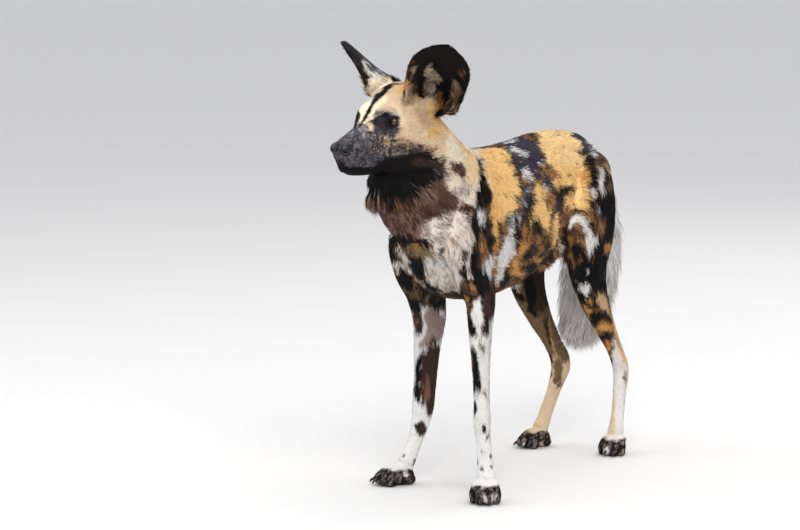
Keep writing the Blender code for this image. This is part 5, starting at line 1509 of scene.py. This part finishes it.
def paintPatches(paint, draw):
    points = skin["points"]
    hidden = (paint["facing"] < 0.0) & (skin["zone"] == 0) & (points[:, 2] > patch["above"])
    for part, (count, tones) in patches.items():
        own = hidden & (skin["label"] == parts.index(part))
        spots = np.nonzero(own)[0]
        for k in range(count):
            i = spots[draw.randrange(len(spots))]
            onLeg = points[i, 2] < patch["bodyAbove"]
            size = draw.uniform(*patch["sizes"]) * (1.0 if onLeg else patch["bodySize"])
            way = skin["flow"][i] * size * draw.uniform(*patch["stretch"])
            ends, radii = [points[i] - way, points[i] + way], [size, size * patch["end"]]
            lay(paint, tones[k % len(tones)], ends, radii, own, patch["softness"])


def paintMarks(paint, draw):
    zones = skin["zone"]
    strokes = []
    for group, listed in marks.items():
        for name, stroke in listed:
            strokes += [(group, name, stroke, *run) for run in thrown(stroke)]
    for group, name, _, spots, radii, zone, _ in strokes:  # the far side, a little unlike the near one
        if group in farMarks:
            loose = farMarks[group]
            shift = (draw.uniform(-loose, loose), draw.uniform(-loose, loose) * 0.6)
            size = 1 + draw.uniform(-8, 8) * loose
            there = onFarSide(group, spots, zone, shift)
            lay(paint, name, there, radii * size, zones == farZone[zone], softness[group])
    for group, name, stroke, spots, radii, zone, metres in strokes:
        lay(paint, name, spots, radii, zones == zone, softness[group], stroke, metres)


def paintEyeRings(paint):
    own = np.nonzero(skin["label"] == 0)[0]
    h, grit = toHead(paint["bent"][own]), paint["grit"][:, own]
    for way in (1, -1):
        for tone, middle, stretch, mixing, reach in painting["eyeRings"]:
            ring = (h - np.array(mirrored(head["eyePlace"], way)) - np.array(middle)) / np.array(stretch)
            share = (np.linalg.norm(ring, axis=1) + mixing * grit < reach).astype(float)
            cover(paint, tone, own, share)


def paintSkin():
    paint, draw = newPaint(), random.Random(painting["patchSeed"])
    paintBase(paint)
    paintPatches(paint, draw)
    paintMarks(paint, draw)
    paintEyeRings(paint)
    return paint["layers"]


skin["layers"] = paintSkin()
skin["colour"] = skin["layers"].mean(0)
say("painted")


# Materials. Each is a shader with its own colour and a fine bump.
def newMaterial(name, roughness=0.7, specular=0.35):
    mat = bpy.data.materials.new(name)
    mat.use_nodes = True
    shader = mat.node_tree.nodes["Principled BSDF"]
    shader.inputs["Roughness"].default_value = roughness
    shader.inputs["Specular IOR Level"].default_value = specular
    return mat, mat.node_tree, shader


def addBump(tree, shader, texture, strength, distance):
    bump = tree.nodes.new("ShaderNodeBump")
    bump.inputs["Strength"].default_value = strength
    bump.inputs["Distance"].default_value = distance
    tree.links.new(texture, bump.inputs["Height"])
    tree.links.new(bump.outputs["Normal"], shader.inputs["Normal"])


def noiseNode(tree, scale, detail=3.0, roughness=0.6, stretch=None):
    texture = tree.nodes.new("ShaderNodeTexNoise")
    texture.inputs["Scale"].default_value = scale
    texture.inputs["Detail"].default_value = detail
    texture.inputs["Roughness"].default_value = roughness
    where = tree.nodes.new("ShaderNodeTexCoord")
    source = where.outputs["Object"]
    if stretch:
        mapping = tree.nodes.new("ShaderNodeMapping")
        mapping.inputs["Scale"].default_value = stretch
        tree.links.new(source, mapping.inputs["Vector"])
        source = mapping.outputs["Vector"]
    tree.links.new(source, texture.inputs["Vector"])
    return texture


def plainMaterial(name, look):
    mat, tree, shader = newMaterial(name, *look["finish"])
    shader.inputs["Base Color"].default_value = (*linear(look["colour"]), 1)
    addBump(tree, shader, noiseNode(tree, *look["grain"]).outputs["Fac"], *look["bump"])
    return mat


def paintedColour(tree):
    colour = tree.nodes.new("ShaderNodeAttribute")
    colour.attribute_name = "coat"
    return colour.outputs["Color"]


def coatMaterial(name, roughness, grain):
    mat, tree, shader = newMaterial(name, roughness, 0.15)
    colour = paintedColour(tree)
    texture = noiseNode(tree, grain, 3.0, 0.65, (1.0, 1.0, 0.45))
    vary = tree.nodes.new("ShaderNodeMapRange")
    vary.inputs["To Min"].default_value = 0.78
    vary.inputs["To Max"].default_value = 1.18
    tree.links.new(texture.outputs["Fac"], vary.inputs["Value"])
    scaled = tree.nodes.new("ShaderNodeVectorMath")
    scaled.operation = "SCALE"
    tree.links.new(colour, scaled.inputs[0])
    tree.links.new(vary.outputs["Result"], scaled.inputs["Scale"])
    tree.links.new(scaled.outputs["Vector"], shader.inputs["Base Color"])
    addBump(tree, shader, texture.outputs["Fac"], 0.35, 0.0015)
    return mat


skinMaterial = coatMaterial("short fur", 0.78, 420.0)
coatHairMaterial = coatMaterial("coat hair", 0.70, 160.0)


def setColours(mesh, colours):
    rgba = np.ones((len(colours), 4), np.float32)
    rgba[:, :3] = colours
    attribute = mesh.color_attributes.new("coat", "FLOAT_COLOR", "POINT")
    attribute.data.foreach_set("color", rgba.ravel())


def dress(obj, mat):
    smoothFaces(obj.data)
    obj.data.materials.append(mat)
    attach(obj, "root")


# Coat: flat tapered tufts, rooted in the skin, by part of the body. Tufts in thousands, length and
# width in metres, start and end in radians above the skin, and how strongly long hair droops.
columns = ("tufts", "length", "width", "start", "end", "slot", "spans", "droop")
coat = {
    "head": (62, 0.0080, 0.0009, 0.24, 0.05, "face", 2),
    "neck": (40, 0.0120, 0.0012, 0.24, 0.04, "ruff", 2),
    "trunk": (120, 0.0150, 0.0013, 0.22, 0.03, "coat", 2),
    "tail": (12, 0.0220, 0.0015, 0.25, 0.05, "tail", 2),
    "foreLeft": (28, 0.0095, 0.0010, 0.20, 0.03, "coat", 2),
    "foreRight": (28, 0.0095, 0.0010, 0.20, 0.03, "coat", 2),
    "hindLeft": (33, 0.0100, 0.0011, 0.20, 0.03, "coat", 2),
    "hindRight": (33, 0.0100, 0.0011, 0.20, 0.03, "coat", 2),
    "earLeft": (20, 0.0070, 0.0008, 0.20, 0.00, "ears", 2),
    "earRight": (20, 0.0070, 0.0008, 0.20, 0.00, "ears", 2),
}
longHair = {
    "ruff": (30, 0.044, 0.0018, 0.60, -0.10, "ruff", 3, 0.55),
    "brush": (24, 0.072, 0.0022, 0.50, 0.00, "tail", 3, 0.3),
    "fringe": (3.2, 0.036, 0.0015, 0.35, 0.0, "coat", 3, 0.9),
    "earHair": (2.6, 0.017, 0.0010, 0.55, 0.25, "ears", 3),
}
coat = {part: dict(zip(columns, row)) for part, row in coat.items()}
longHair = {name: dict(zip(columns, row)) for name, row in longHair.items()}
# How the length of the coat changes: over the head, down the legs, round the eyes and on the ears.
growth = {
    "muzzle": (1.25, 9.5, 0.03, 0.40, 1.6), "legs": (0.55, 1.6, 0.55, 1.6),
    "eyeFrom": 0.010, "eyeReach": 0.022, "eyeLeast": 0.20, "smooth": 14,
    "earEdge": (0.80, 0.88, 0.7), "earFoot": (0.35, 1.3), "bareEyes": 1.3,
}
tuft = {
    "quickShare": 0.35, "swing": 0.20, "wave": 0.35, "lengths": (0.7, 1.15), "clump": 0.18,
    "widths": (0.75, 1.25), "twist": 0.45, "lifts": (0.6, 1.4), "sunk": 0.0006, "lean": 0.25,
    "tapers": {2: (1.0, 0.80, 0.0), 3: (0.9, 1.0, 0.62, 0.0)},
    "inset": 0.0002, "aboveFloor": 0.0008,
    "tone": 0.11, "toneWave": 0.10, "shade": (0.72, 1.12), "darkRuff": 0.20,
    "unwrap": 0.003,
}


def coatLengths():
    points, label, zone = skin["points"], skin["label"], skin["zone"]
    d, h = toDog(points), toHead(points)
    length = np.array([coat[name]["length"] for name in parts])[label]
    onHead = label == 0
    start, fall, ahead, least, most = growth["muzzle"]
    length[onHead] *= np.clip(start - fall * (h[onHead, 0] + ahead), least, most)
    start, rise, least, most = growth["legs"]
    for name in legs:
        onLeg = label == parts.index(name)
        length[onLeg] *= np.clip(start + rise * d[onLeg, 2], least, most)
    for way in (1, -1):  # short round the eyes
        eyeFar = np.linalg.norm(h - np.array(mirrored(head["eyePlace"], way)), axis=1)
        near = np.clip((eyeFar - growth["eyeFrom"]) / growth["eyeReach"], growth["eyeLeast"], 1)
        length *= np.where(onHead, near, 1)
    flesh = zone == 0
    smooth = spread(length, skin["edges"], len(points), growth["smooth"])
    length[flesh] = smooth[flesh]
    rim, tip, longer = growth["earEdge"]
    edge = np.clip((np.abs(skin["s"]) - rim) / 0.2, 0, 1) + np.clip((skin["t"] - tip) / 0.12, 0, 1)
    foot, footLonger = growth["earFoot"]
    low = np.clip(1 - skin["t"] / foot, 0, 1)
    ears = ~flesh
    length[ears] *= (1 + longer * edge + footLonger * low)[ears]
    return length


skin["length"] = coatLengths()
skin["bare"] = inEyes(skin["points"], growth["bareEyes"])


# Each part unrolls round its own middle line, and the ears by their rows and columns.
def unwrapped(part):
    points = skin["points"]
    if part.startswith("ear"):
        inner = (skin["zone"] % 2 == 1)
        along = 0.8 * np.clip(skin["t"] + 0.12, 0, 1.12) / 1.12
        return np.stack([0.25 + 0.22 * skin["s"] + 0.5 * inner, 0.05 + along], 1)
    if part == "head":
        h = toHead(points) - np.array((0.0, 0.0, -0.03))
        angle = np.arctan2(h[:, 1], -h[:, 2])
        along = np.clip((h[:, 0] + 0.15) / 0.29, 0, 1)
        return np.stack([0.5 + 0.47 * angle / math.pi, 0.06 + 0.86 * along], 1)
    rows, _ = centreLines()[part]
    fine = catmull(rows, 8)
    centres = toRow(fine[:, :3])
    gaps = np.linalg.norm(np.diff(centres, axis=0), axis=1)
    steps = np.concatenate([[0], np.cumsum(gaps)])
    nearest = np.full(len(points), farOff)
    chosen = np.zeros(len(points), int)
    for k, centre in enumerate(centres):
        d = np.linalg.norm(points - centre, axis=1)
        closer = d < nearest
        nearest[closer], chosen[closer] = d[closer], k
    tangent = unit(np.gradient(centres, axis=0))[chosen]
    offset = points - centres[chosen]
    along = steps[chosen] + (offset * tangent).sum(1)
    hint = np.array((0.05, 0.9, 0.3)) if part != "trunk" else np.array((0.0, 0.0, 1.0))
    side = unit(np.cross(tangent, hint))
    other = np.cross(tangent, side)
    angle = np.arctan2((offset * side).sum(1), (offset * other).sum(1))
    low, high = -0.06, steps[-1] + 0.06
    share = np.clip((along - low) / (high - low), 0, 1)
    return np.stack([0.5 + 0.47 * angle / math.pi, 0.03 + 0.94 * share], 1)


def tuftRoots(chosen, count, rng):
    points, tris = skin["points"], skin["tris"][chosen]
    a, b, c = points[tris[:, 0]], points[tris[:, 1]], points[tris[:, 2]]
    area = 0.5 * np.linalg.norm(np.cross(b - a, c - a), axis=1)
    pick = np.searchsorted(np.cumsum(area) / area.sum(), rng.random(count))
    tri = tris[np.minimum(pick, len(tris) - 1)]
    u, v = rng.random(count), rng.random(count)
    over = u + v > 1
    u[over], v[over] = 1 - u[over], 1 - v[over]
    return tri, np.stack([1 - u - v, u, v], 1)


def mixed(values, tri, share):
    weights = share if values.ndim == 1 else share[:, :, None]
    return (values[tri] * weights).sum(1)


# A tuft follows the lie of the coat: it leaves the skin at a lift, bends over and may droop.
def tuftLines(name, sizes, seed, rng, tri, share, lengths):
    count, spans = len(tri), sizes["spans"]
    root = mixed(skin["points"], tri, share)
    normal = unit(mixed(skin["normals"], tri, share))
    flow = mixed(skin["flow"], tri, share)
    flow = unit(flow - normal * (flow * normal).sum(1, keepdims=True))
    across = np.cross(normal, flow)
    swing = rng.normal(0, tuft["swing"], count)[:, None]
    swing = swing + tuft["wave"] * noise(root, 0.02, seed + 3)[:, None]
    flow = flow * np.cos(swing) + across * np.sin(swing)
    across = np.cross(normal, flow)
    coatLength = mixed(skin["length"], tri, share)
    length = (coatLength if lengths is None else lengths(root)) * rng.uniform(*tuft["lengths"], count)
    length = length * (1 + tuft["clump"] * noise(root, 0.012, seed + 5))
    width = sizes["width"] * rng.uniform(*tuft["widths"], count)
    if name == "coatHead":  # finer on the muzzle
        width = width * np.clip(coatLength / 0.008, 0.55, 1.2)
    twist = rng.normal(0, tuft["twist"], count)[:, None]
    flat = across * np.cos(twist) + normal * np.sin(twist)
    lift = sizes["start"] * rng.uniform(*tuft["lifts"], count)
    at = root - normal * tuft["sunk"]
    down = np.array((0.0, 0.0, -1.0))
    rings = []
    for i, taper in enumerate(tuft["tapers"][spans]):
        rings.append((at.copy(), width * taper))
        t = (i + 0.5) / spans
        angle = lift * (1 - t) + sizes["end"] * t
        line = flow * np.cos(angle)[:, None] + normal * np.sin(angle)[:, None]
        if "droop" in sizes:
            line = unit(line + down * sizes["droop"] * t)
        at = at + line * (length / spans)[:, None]
    return root, normal, flat, rings


def tuftMesh(name, spans, flat, rings):
    verts, per = [], 2 * spans + 1
    for centre, width in rings[:-1]:
        half = flat * 0.5 * width[:, None]
        verts += [centre - half, centre + half]
    verts.append(rings[-1][0])
    verts = np.stack(verts, 1)
    verts = np.clip(verts, cadLow + tuft["inset"], cadHigh - tuft["inset"])
    verts[:, :, 2] = np.maximum(verts[:, :, 2], tuft["aboveFloor"])
    pattern = []
    for k in range(0, 2 * spans - 2, 2):
        pattern += [(k, k + 3, k + 1), (k, k + 2, k + 3)]
    pattern.append((2 * spans - 1, 2 * spans - 2, 2 * spans))
    faces = (np.arange(len(flat))[:, None, None] * per + np.array(pattern)[None]).reshape(-1, 3)
    return meshFrom(name, verts.reshape(-1, 3), faces), faces


def tuftColours(part, sizes, seed, rng, tri, share, root, rings):
    count, layers = len(tri), skin["layers"]
    corner = (share + rng.dirichlet((1, 1, 1), count)).argmax(1)
    base = layers[rng.integers(0, 4, count), tri[np.arange(count), corner]]
    if "droop" in sizes and part == "neck":  # the colour of what lies half way down, if it is dark
        below = [skinTree.find_nearest(Vector(p))[2] for p in rings[-2][0]]
        lower = layers[rng.integers(0, 4, count), skin["tris"][below, 0]]
        base = np.where(lower.mean(1)[:, None] < tuft["darkRuff"], lower, base)
    wave = 1 + tuft["toneWave"] * noise(root, 0.009, seed + 8)[:, None]
    base = np.clip(base * (rng.normal(1.0, tuft["tone"], count)[:, None] * wave), 0.002, 1)
    spans = sizes["spans"]
    shade = np.interp(np.arange(2 * spans + 1) // 2, (0, spans), tuft["shade"])
    return np.clip(base[:, None, :] * shade[None, :, None], 0, 1).reshape(-1, 3)


def tuftUnwrap(mesh, part, spans, tri, share, faces):
    where, per = skin["unwrap"][part], 2 * spans + 1
    uvRoot = (where[tri] * share[:, :, None]).sum(1)
    broken = np.abs(where[tri][:, :, 0].max(1) - where[tri][:, :, 0].min(1)) > 0.3
    uvRoot[broken] = where[tri[broken, 0]]
    local = np.zeros((per, 2))
    for k in range(per):
        sideways = ((k % 2) - 0.5) * tuft["unwrap"] if k < per - 1 else 0.0
        local[k] = (sideways, (k // 2) / spans * tuft["unwrap"] - 0.5 * tuft["unwrap"])
    uv = (uvRoot[:, None, :] + local[None]).reshape(-1, 2)
    layer = mesh.uv_layers.new(name="OFBake")
    layer.data.foreach_set("uv", np.clip(uv[faces.ravel()], 0, 1).astype(np.float32).ravel())


def growTufts(name, part, chosen, sizes, seed, lengths=None):
    rng = np.random.default_rng(seed)
    chosen = chosen[~skin["bare"][skin["tris"][chosen]].any(1)]
    count = int(sizes["tufts"] * 1000 * (1.0))
    tri, share = tuftRoots(chosen, count, rng)
    root, normal, flat, rings = tuftLines(name, sizes, seed, rng, tri, share, lengths)
    mesh, faces = tuftMesh(name, sizes["spans"], flat, rings)
    setColours(mesh, tuftColours(part, sizes, seed, rng, tri, share, root, rings))
    faceOut = np.repeat(unit(normal + tuft["lean"] * flat), 2 * sizes["spans"] + 1, axis=0)
    smoothFaces(mesh)
    mesh.normals_split_custom_set_from_vertices(faceOut.astype(np.float32))
    tuftUnwrap(mesh, part, sizes["spans"], tri, share, faces)
    dress(newObject(name, mesh), coatHairMaterial)


skin["unwrap"] = {part: unwrapped(part) for part in parts}
say("unwrapped")


def growCoat():
    of = skin["label"][skin["tris"][:, 0]]
    middle = skin["points"][skin["tris"]].mean(1)
    pieces = []
    for k, part in enumerate(parts):
        chosen = np.nonzero(of == k)[0]
        if part == "trunk":
            left = middle[chosen][:, 0] > -dog["middleSide"]
            sizes = dict(coat[part], tufts=coat[part]["tufts"] / 2)
            pieces.append(("TrunkLeft", part, chosen[left], sizes))
            pieces.append(("TrunkRight", part, chosen[~left], sizes))
        else:
            pieces.append((part[0].upper() + part[1:], part, chosen, coat[part]))
    for k, (name, part, chosen, sizes) in enumerate(pieces):
        growTufts("coat" + name, part, chosen, sizes, 100 + 10 * k)


# Where long hair grows: on the throat as far as it is dark, the hanging part of the tail, the
# fold of skin at each flank and the pale insides of the ears.
longAreas = {
    "jawFore": 0.025, "jawUp": -0.100, "throatUp": (0.50, 0.705), "throatOut": (-0.25, 0.5),
    "throatDark": 0.12, "brushUp": 0.56, "foldFore": (0.085, 0.235), "foldUp": 0.475,
    "foldOut": -0.1, "foldSide": 0.035, "earPale": 0.18,
}


def growLongHair():
    tris, zone = skin["tris"], skin["zone"]
    of = skin["label"][tris[:, 0]]
    middle, out = skin["points"][tris].mean(1), skin["normals"][tris].mean(1)
    d, h = toDog(middle), toHead(middle)
    under = (of == 0) & (h[:, 0] < longAreas["jawFore"]) & (h[:, 2] < longAreas["jawUp"])
    low, high = longAreas["throatUp"]
    throatHair = ((of == 1) | under) & (d[:, 2] > low) & (d[:, 2] < high)
    ahead, up = longAreas["throatOut"]
    throatHair &= (-out[:, 1] > ahead) & (out[:, 2] < up)
    throatHair &= skin["colour"][tris].max(1).mean(1) < longAreas["throatDark"]
    brush = (of == 3) & (d[:, 2] < longAreas["brushUp"])
    low, high = longAreas["foldFore"]
    fold = (of == 2) & (d[:, 0] > low) & (d[:, 0] < high) & (d[:, 2] < longAreas["foldUp"])
    fold &= (out[:, 2] < longAreas["foldOut"]) & (np.abs(d[:, 1]) > longAreas["foldSide"])
    pale = skin["colour"][tris].mean((1, 2)) > longAreas["earPale"]

    def ruffLength(p):
        sideways = np.clip(1.1 - np.abs(toDog(p)[:, 1] + 0.03) * 3.5, 0.45, 1.1)
        return longHair["ruff"]["length"] * sideways * np.clip((0.71 - p[:, 2]) * 14, 0.35, 1.0)

    def brushLength(p):
        return longHair["brush"]["length"] * np.clip(0.45 + (0.57 - p[:, 2]) * 5, 0.45, 1.0)

    def evenLength(kind):
        return lambda p: np.full(len(p), longHair[kind]["length"])

    for name, part, kind, where, seed, lengths in (
        ("ruff", "neck", "ruff", throatHair, 300, ruffLength),
        ("brush", "tail", "brush", brush, 320, brushLength),
        ("fringe", "trunk", "fringe", fold, 330, evenLength("fringe")),
        ("earHairLeft", "earLeft", "earHair", pale & (zone[tris[:, 0]] == 1), 340, evenLength("earHair")),
        ("earHairRight", "earRight", "earHair", pale & (zone[tris[:, 0]] == 3), 350, evenLength("earHair")),
    ):
        growTufts(name, part, np.nonzero(where)[0], longHair[kind], seed, lengths)


growCoat()
say("coat")
growLongHair()
say("long hair")

setColours(skin["obj"].data, skin["colour"])
dress(skin["obj"], skinMaterial)
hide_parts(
    "head", "neck", "torso", "tail_root", "tail_brush", "ear_left", "ear_right",
    "foreleg_left", "foreleg_right", "hindleg_left", "hindleg_right",
    "forepaw_left", "forepaw_right", "hindpaw_left", "hindpaw_right",
)


# Eyes: a ball with pupil and brown iris, wet, in dark rims. Pupil and iris in degrees.
eye = {
    "pupil": 17, "iris": 46, "pupilColour": (6, 5, 5), "irisColour": (92, 62, 40),
    "ballColour": (30, 22, 18), "finish": (0.06, 0.35), "wet": (0.4, 0.02),
}


def buildEyes():
    mat, tree, shader = newMaterial("eyeball", *eye["finish"])
    shader.inputs["Coat Weight"].default_value = eye["wet"][0]
    shader.inputs["Coat Roughness"].default_value = eye["wet"][1]
    tree.links.new(paintedColour(tree), shader.inputs["Base Color"])
    for side, way in (("left", 1), ("right", -1)):
        bm = bmesh.new()
        ball(bm, mirrored(head["eyePlace"], way), [head["eyeRadius"]] * 3, headTurn, 64, 48)
        obj = fromBmesh("eye_ball_" + side, bm)
        points = readPoints(obj.data)
        aim = np.array(mirrored(Vector(head["gaze"]).normalized(), way))
        offset = unit(toHead(points) - np.array(mirrored(head["eyePlace"], way)))
        angle = np.degrees(np.arccos(np.clip(offset @ aim, -1, 1)))
        colours = np.tile(linear(eye["ballColour"]), (len(points), 1))
        iris = np.clip((eye["iris"] - angle) / 3, 0, 1)[:, None]
        ray = 0.85 + 0.3 * noise(offset * 9, 1.0, 41)[:, None]
        colours = colours * (1 - iris) + linear(eye["irisColour"]) * ray * iris
        inner = np.clip((angle - eye["pupil"]) / 2, 0, 1)[:, None]
        colours = colours * inner + linear(eye["pupilColour"]) * (1 - inner)
        setColours(obj.data, colours)
        dress(obj, mat)
        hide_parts("eye_" + side)


# Lids: from the ball's surface, over the rim, out along a fold and down into the skin.
lids = {
    "finish": (0.42, 0.5), "colour": (30, 26, 27), "grain": (900.0,), "bump": (0.3, 0.0006),
    "profile": (  # width as a share of the opening, distance as a share of the eye's radius
        (0.96, 0.995), (0.985, 1.03), (1.03, 1.085), (1.12, 1.12), (1.26, 1.13), (1.45, 1.10),
        (1.65, 0.98),
    ),
    "sides": 64, "pointed": (0.92, 1.15), "lower": 0.88, "least": 0.0035, "thickness": 0.0006,
}


def buildLids():
    mat = plainMaterial("eyelid skin", lids)
    halfLength, halfHeight = head["eyeOpening"]
    for side, way in (("left", 1), ("right", -1)):
        centre = mirrored(head["eyePlace"], way)
        aim, longAxis, shortAxis = eyeAxes(way)
        bm = bmesh.new()
        loops = []
        for wide, deep in lids["profile"]:
            loop = []
            for k in range(lids["sides"]):
                angle = 2 * math.pi * k / lids["sides"]
                c, s = math.cos(angle), math.sin(angle)
                x = halfLength * wide * math.copysign(abs(c) ** lids["pointed"][0], c)
                y = halfHeight * wide * math.copysign(abs(s) ** lids["pointed"][1], s)
                if s < 0:
                    y *= lids["lower"]
                flat = (x * x + y * y) ** 0.5
                reach = head["eyeRadius"] * deep
                forward = math.sqrt(max(reach * reach - flat * flat, 0.0)) if flat < reach else 0.0
                forward = max(forward, lids["least"] * deep)
                point = centre + aim * forward + longAxis * x + shortAxis * y
                loop.append(bm.verts.new(place(headTurn(point))))
            loops.append(loop)
        bridge(bm, loops)
        obj = fromBmesh("lids_" + side, bm)
        thick = obj.modifiers.new("thickness", "SOLIDIFY")
        thick.thickness = lids["thickness"]
        thick.offset = -1
        smoothFaces(obj.data)
        applyModifiers(obj)
        dress(obj, mat)


buildEyes()
buildLids()
say("eyes")


# Nose: bare black leather with round nostrils and a groove down its front.
nose = {
    "masses": (
        ((0.1010, 0.0, -0.0440), (0.0195, 0.0165, 0.0145)),
        ((0.1128, 0.0, -0.0475), (0.0090, 0.0115, 0.0130)),
        ((0.0985, 0.0134, -0.0470), (0.0200, 0.0124, 0.0140)),
        ((0.0985, -0.0134, -0.0470), (0.0200, 0.0124, 0.0140)),
        ((0.1058, 0.0, -0.0570), (0.0090, 0.0050, 0.0080)),
    ),
    "openings": (
        ((0.1195, 0.0078, -0.0485), (0.0095, 0.0050, 0.0050)),
        ((0.1085, 0.0215, -0.0515), (0.0130, 0.0075, 0.0028)),
    ),
    "voxel": 0.0008, "smooth": 12, "openingDepth": 0.0075, "openingRim": 1.15,
    "grooveDepth": 0.0012, "grooveWidth": 0.0010, "grooveFrom": 0.108, "grooveBelow": -0.044,
    "finish": (0.30, 0.35), "wet": (0.12, 0.25), "cells": 780.0, "bump": (0.35, 0.0006),
    "colours": ((9, 9, 11), (26, 26, 31)),
}


def noseMaterial():
    mat, tree, shader = newMaterial("nose leather", *nose["finish"])
    shader.inputs["Coat Weight"].default_value = nose["wet"][0]
    shader.inputs["Coat Roughness"].default_value = nose["wet"][1]
    cells = tree.nodes.new("ShaderNodeTexVoronoi")
    cells.inputs["Scale"].default_value = nose["cells"]
    where = tree.nodes.new("ShaderNodeTexCoord")
    tree.links.new(where.outputs["Object"], cells.inputs["Vector"])
    ramp = tree.nodes.new("ShaderNodeMixRGB")
    for socket, colour in zip(("Color1", "Color2"), nose["colours"]):
        ramp.inputs[socket].default_value = (*linear(colour), 1)
    tree.links.new(cells.outputs["Distance"], ramp.inputs["Fac"])
    tree.links.new(ramp.outputs["Color"], shader.inputs["Base Color"])
    addBump(tree, shader, cells.outputs["Distance"], *nose["bump"])
    return mat


def buildNose():
    bm = bmesh.new()
    for centre, radii in nose["masses"]:
        ball(bm, centre, radii, headTurn, 32, 20)
    obj = fromBmesh("nose_leather", bm)
    addFuse(obj, nose["voxel"])
    addSmooth(obj, nose["smooth"])
    applyModifiers(obj)
    points, normals = readPoints(obj.data), readNormals(obj.data)
    h = toHead(points)
    sink = np.zeros(len(points))
    for way in (1, -1):
        for centre, radii in nose["openings"]:
            d = np.linalg.norm((h - np.array(mirrored(centre, way))) / np.array(radii), axis=1)
            sink = np.maximum(sink, nose["openingDepth"] * np.clip(nose["openingRim"] - d, 0, 1))
    groove = np.exp(-(h[:, 1] / nose["grooveWidth"]) ** 2)
    groove = groove * (h[:, 0] > nose["grooveFrom"]) * (h[:, 2] < nose["grooveBelow"])
    sink = np.maximum(sink, nose["grooveDepth"] * groove)
    points = points - normals * sink[:, None]
    obj.data.vertices.foreach_set("co", points.astype(np.float32).ravel())
    obj.data.update()
    dress(obj, noseMaterial())
    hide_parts("nose")


buildNose()


# Lips: the dark edges of the closed mouth. Each is its rise, how far it stands out, and its radius.
lips = {
    "upper": (0.0018, 0.0012, 0.0020), "lower": (-0.0020, -0.0006, 0.0022),
    "finish": (0.70, 0.12), "colour": (13, 10, 11), "grain": (700.0,), "bump": (0.4, 0.0008),
}


def buildLips():
    bm = bmesh.new()
    for rise, outwards, radius in (lips["upper"], lips["lower"]):
        tube(bm, mouthLine(rise, outwards), radius, headTurn)
    dress(fromBmesh("lips", bm), plainMaterial("lips", lips))


buildLips()


# Whiskers: stiff black hairs in rows of three, from the sides of the muzzle.
whisker = {
    "length": 0.040, "radius": 0.00028, "count": 9, "first": (0.074, 0.022, -0.060), "apart": 0.007,
    "droop": (-0.006, 0, -0.010), "steps": 4, "seed": 11,
    "finish": (0.4, 0.4), "colour": (30, 26, 25), "grain": (900.0,), "bump": (0.1, 0.0002),
}


def buildWhiskers():
    draw = random.Random(whisker["seed"])
    firstFore, firstSide, firstUp = whisker["first"]
    bm = bmesh.new()
    for way in (1, -1):
        for k in range(whisker["count"]):
            fore = firstFore + whisker["apart"] * (k % 3) + draw.uniform(-0.002, 0.002)
            up = firstUp - whisker["apart"] * (k // 3) + draw.uniform(-0.0015, 0.0015)
            back, down = -0.35 + draw.uniform(-0.2, 0.3), -0.25 + draw.uniform(-0.2, 0.2)
            line = Vector((back, 1.0, down)).normalized()
            reach = whisker["length"] * draw.uniform(0.6, 1.0)
            at = Vector((fore, firstSide, up))
            rows = []
            for step in range(whisker["steps"] + 1):
                share = step / whisker["steps"]
                thick = whisker["radius"] * (1 - 0.85 * share)
                point = at + line * (reach * share) + Vector(whisker["droop"]) * share ** 2
                rows.append((*mirrored(point, way), thick, thick, thick, 2.0, 0.0))
            loft(bm, rows, (0, 0, 1), steps=1, sides=5, turn=headTurn)
    dress(fromBmesh("whiskers", bm), plainMaterial("whiskers", whisker))


buildWhiskers()


# Claws: blunt and curved, out of the ends of the toes.
claw = {
    "rows": (  # share of the toe's reach, ahead of that, side, up, half width, thickness
        (0.86, 0.0, 1.0, 0.0150, 0.0030, 0.0032),
        (1.0, 0.005, 1.02, 0.0120, 0.0026, 0.0028),
        (1.0, 0.0095, 1.04, 0.0065, 0.0013, 0.0014),
    ),
    "finish": (0.35, 0.5), "colour": (36, 30, 28), "grain": (500.0, 2.0, 0.5, (1, 1, 6)),
    "bump": (0.2, 0.0005),
}


def buildClaws():
    bm = bmesh.new()
    for leg in legs.values():
        turned = pawTurn(leg)
        for _, tip, reach, _ in paw["toes"]:
            rows = [
                (reach * share + ahead, tip * side, up, half, thick, thick, 2.0, 0.0)
                for share, ahead, side, up, half, thick in claw["rows"]
            ]
            loft(bm, rows, steps=4, sides=12, turn=turned)
    dress(fromBmesh("claws", bm), plainMaterial("claw horn", claw))


buildClaws()
say("nose, lips and claws")


# Studio: pale floor, soft light from above and both sides.
studio = {
    "floor": 40, "floorDrop": 0.0005, "world": 0.78, "sky": (0.93, 0.95, 1.0, 1),
    "finish": (0.9, 0.2), "colour": (232, 230, 227), "grain": (40.0,), "bump": (0.05, 0.002),
    "lightsAim": (0, 0, 0.45),
    "lights": (  # name, place, size, power
        ("key", (2.2, -3.0, 3.6), 2.2, 108), ("fill", (-3.4, -1.6, 2.2), 3.0, 30),
        ("back", (0.5, 3.6, 2.8), 3.0, 36), ("top", (0.0, 0.0, 4.2), 3.0, 36),
    ),
}


def buildStudio():
    bm = bmesh.new()
    bmesh.ops.create_grid(bm, x_segments=1, y_segments=1, size=studio["floor"])
    floor = fromBmesh("floor", bm)
    floor.location = (0, 0, -studio["floorDrop"])
    floor.data.materials.append(plainMaterial("studio floor", studio))
    for name, at, size, power in studio["lights"]:
        data = bpy.data.lights.new(name, "AREA")
        data.energy = power
        data.size = size
        light = newObject(name, data)
        light.location = at
        aim = Vector(studio["lightsAim"]) - Vector(at)
        light.rotation_euler = aim.to_track_quat("-Z", "Y").to_euler()
    world = bpy.data.worlds.new("studio")
    world.use_nodes = True
    background = world.node_tree.nodes["Background"]
    background.inputs["Color"].default_value = studio["sky"]
    background.inputs["Strength"].default_value = studio["world"]
    bpy.context.scene.world = world


buildStudio()
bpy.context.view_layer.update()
say("done")
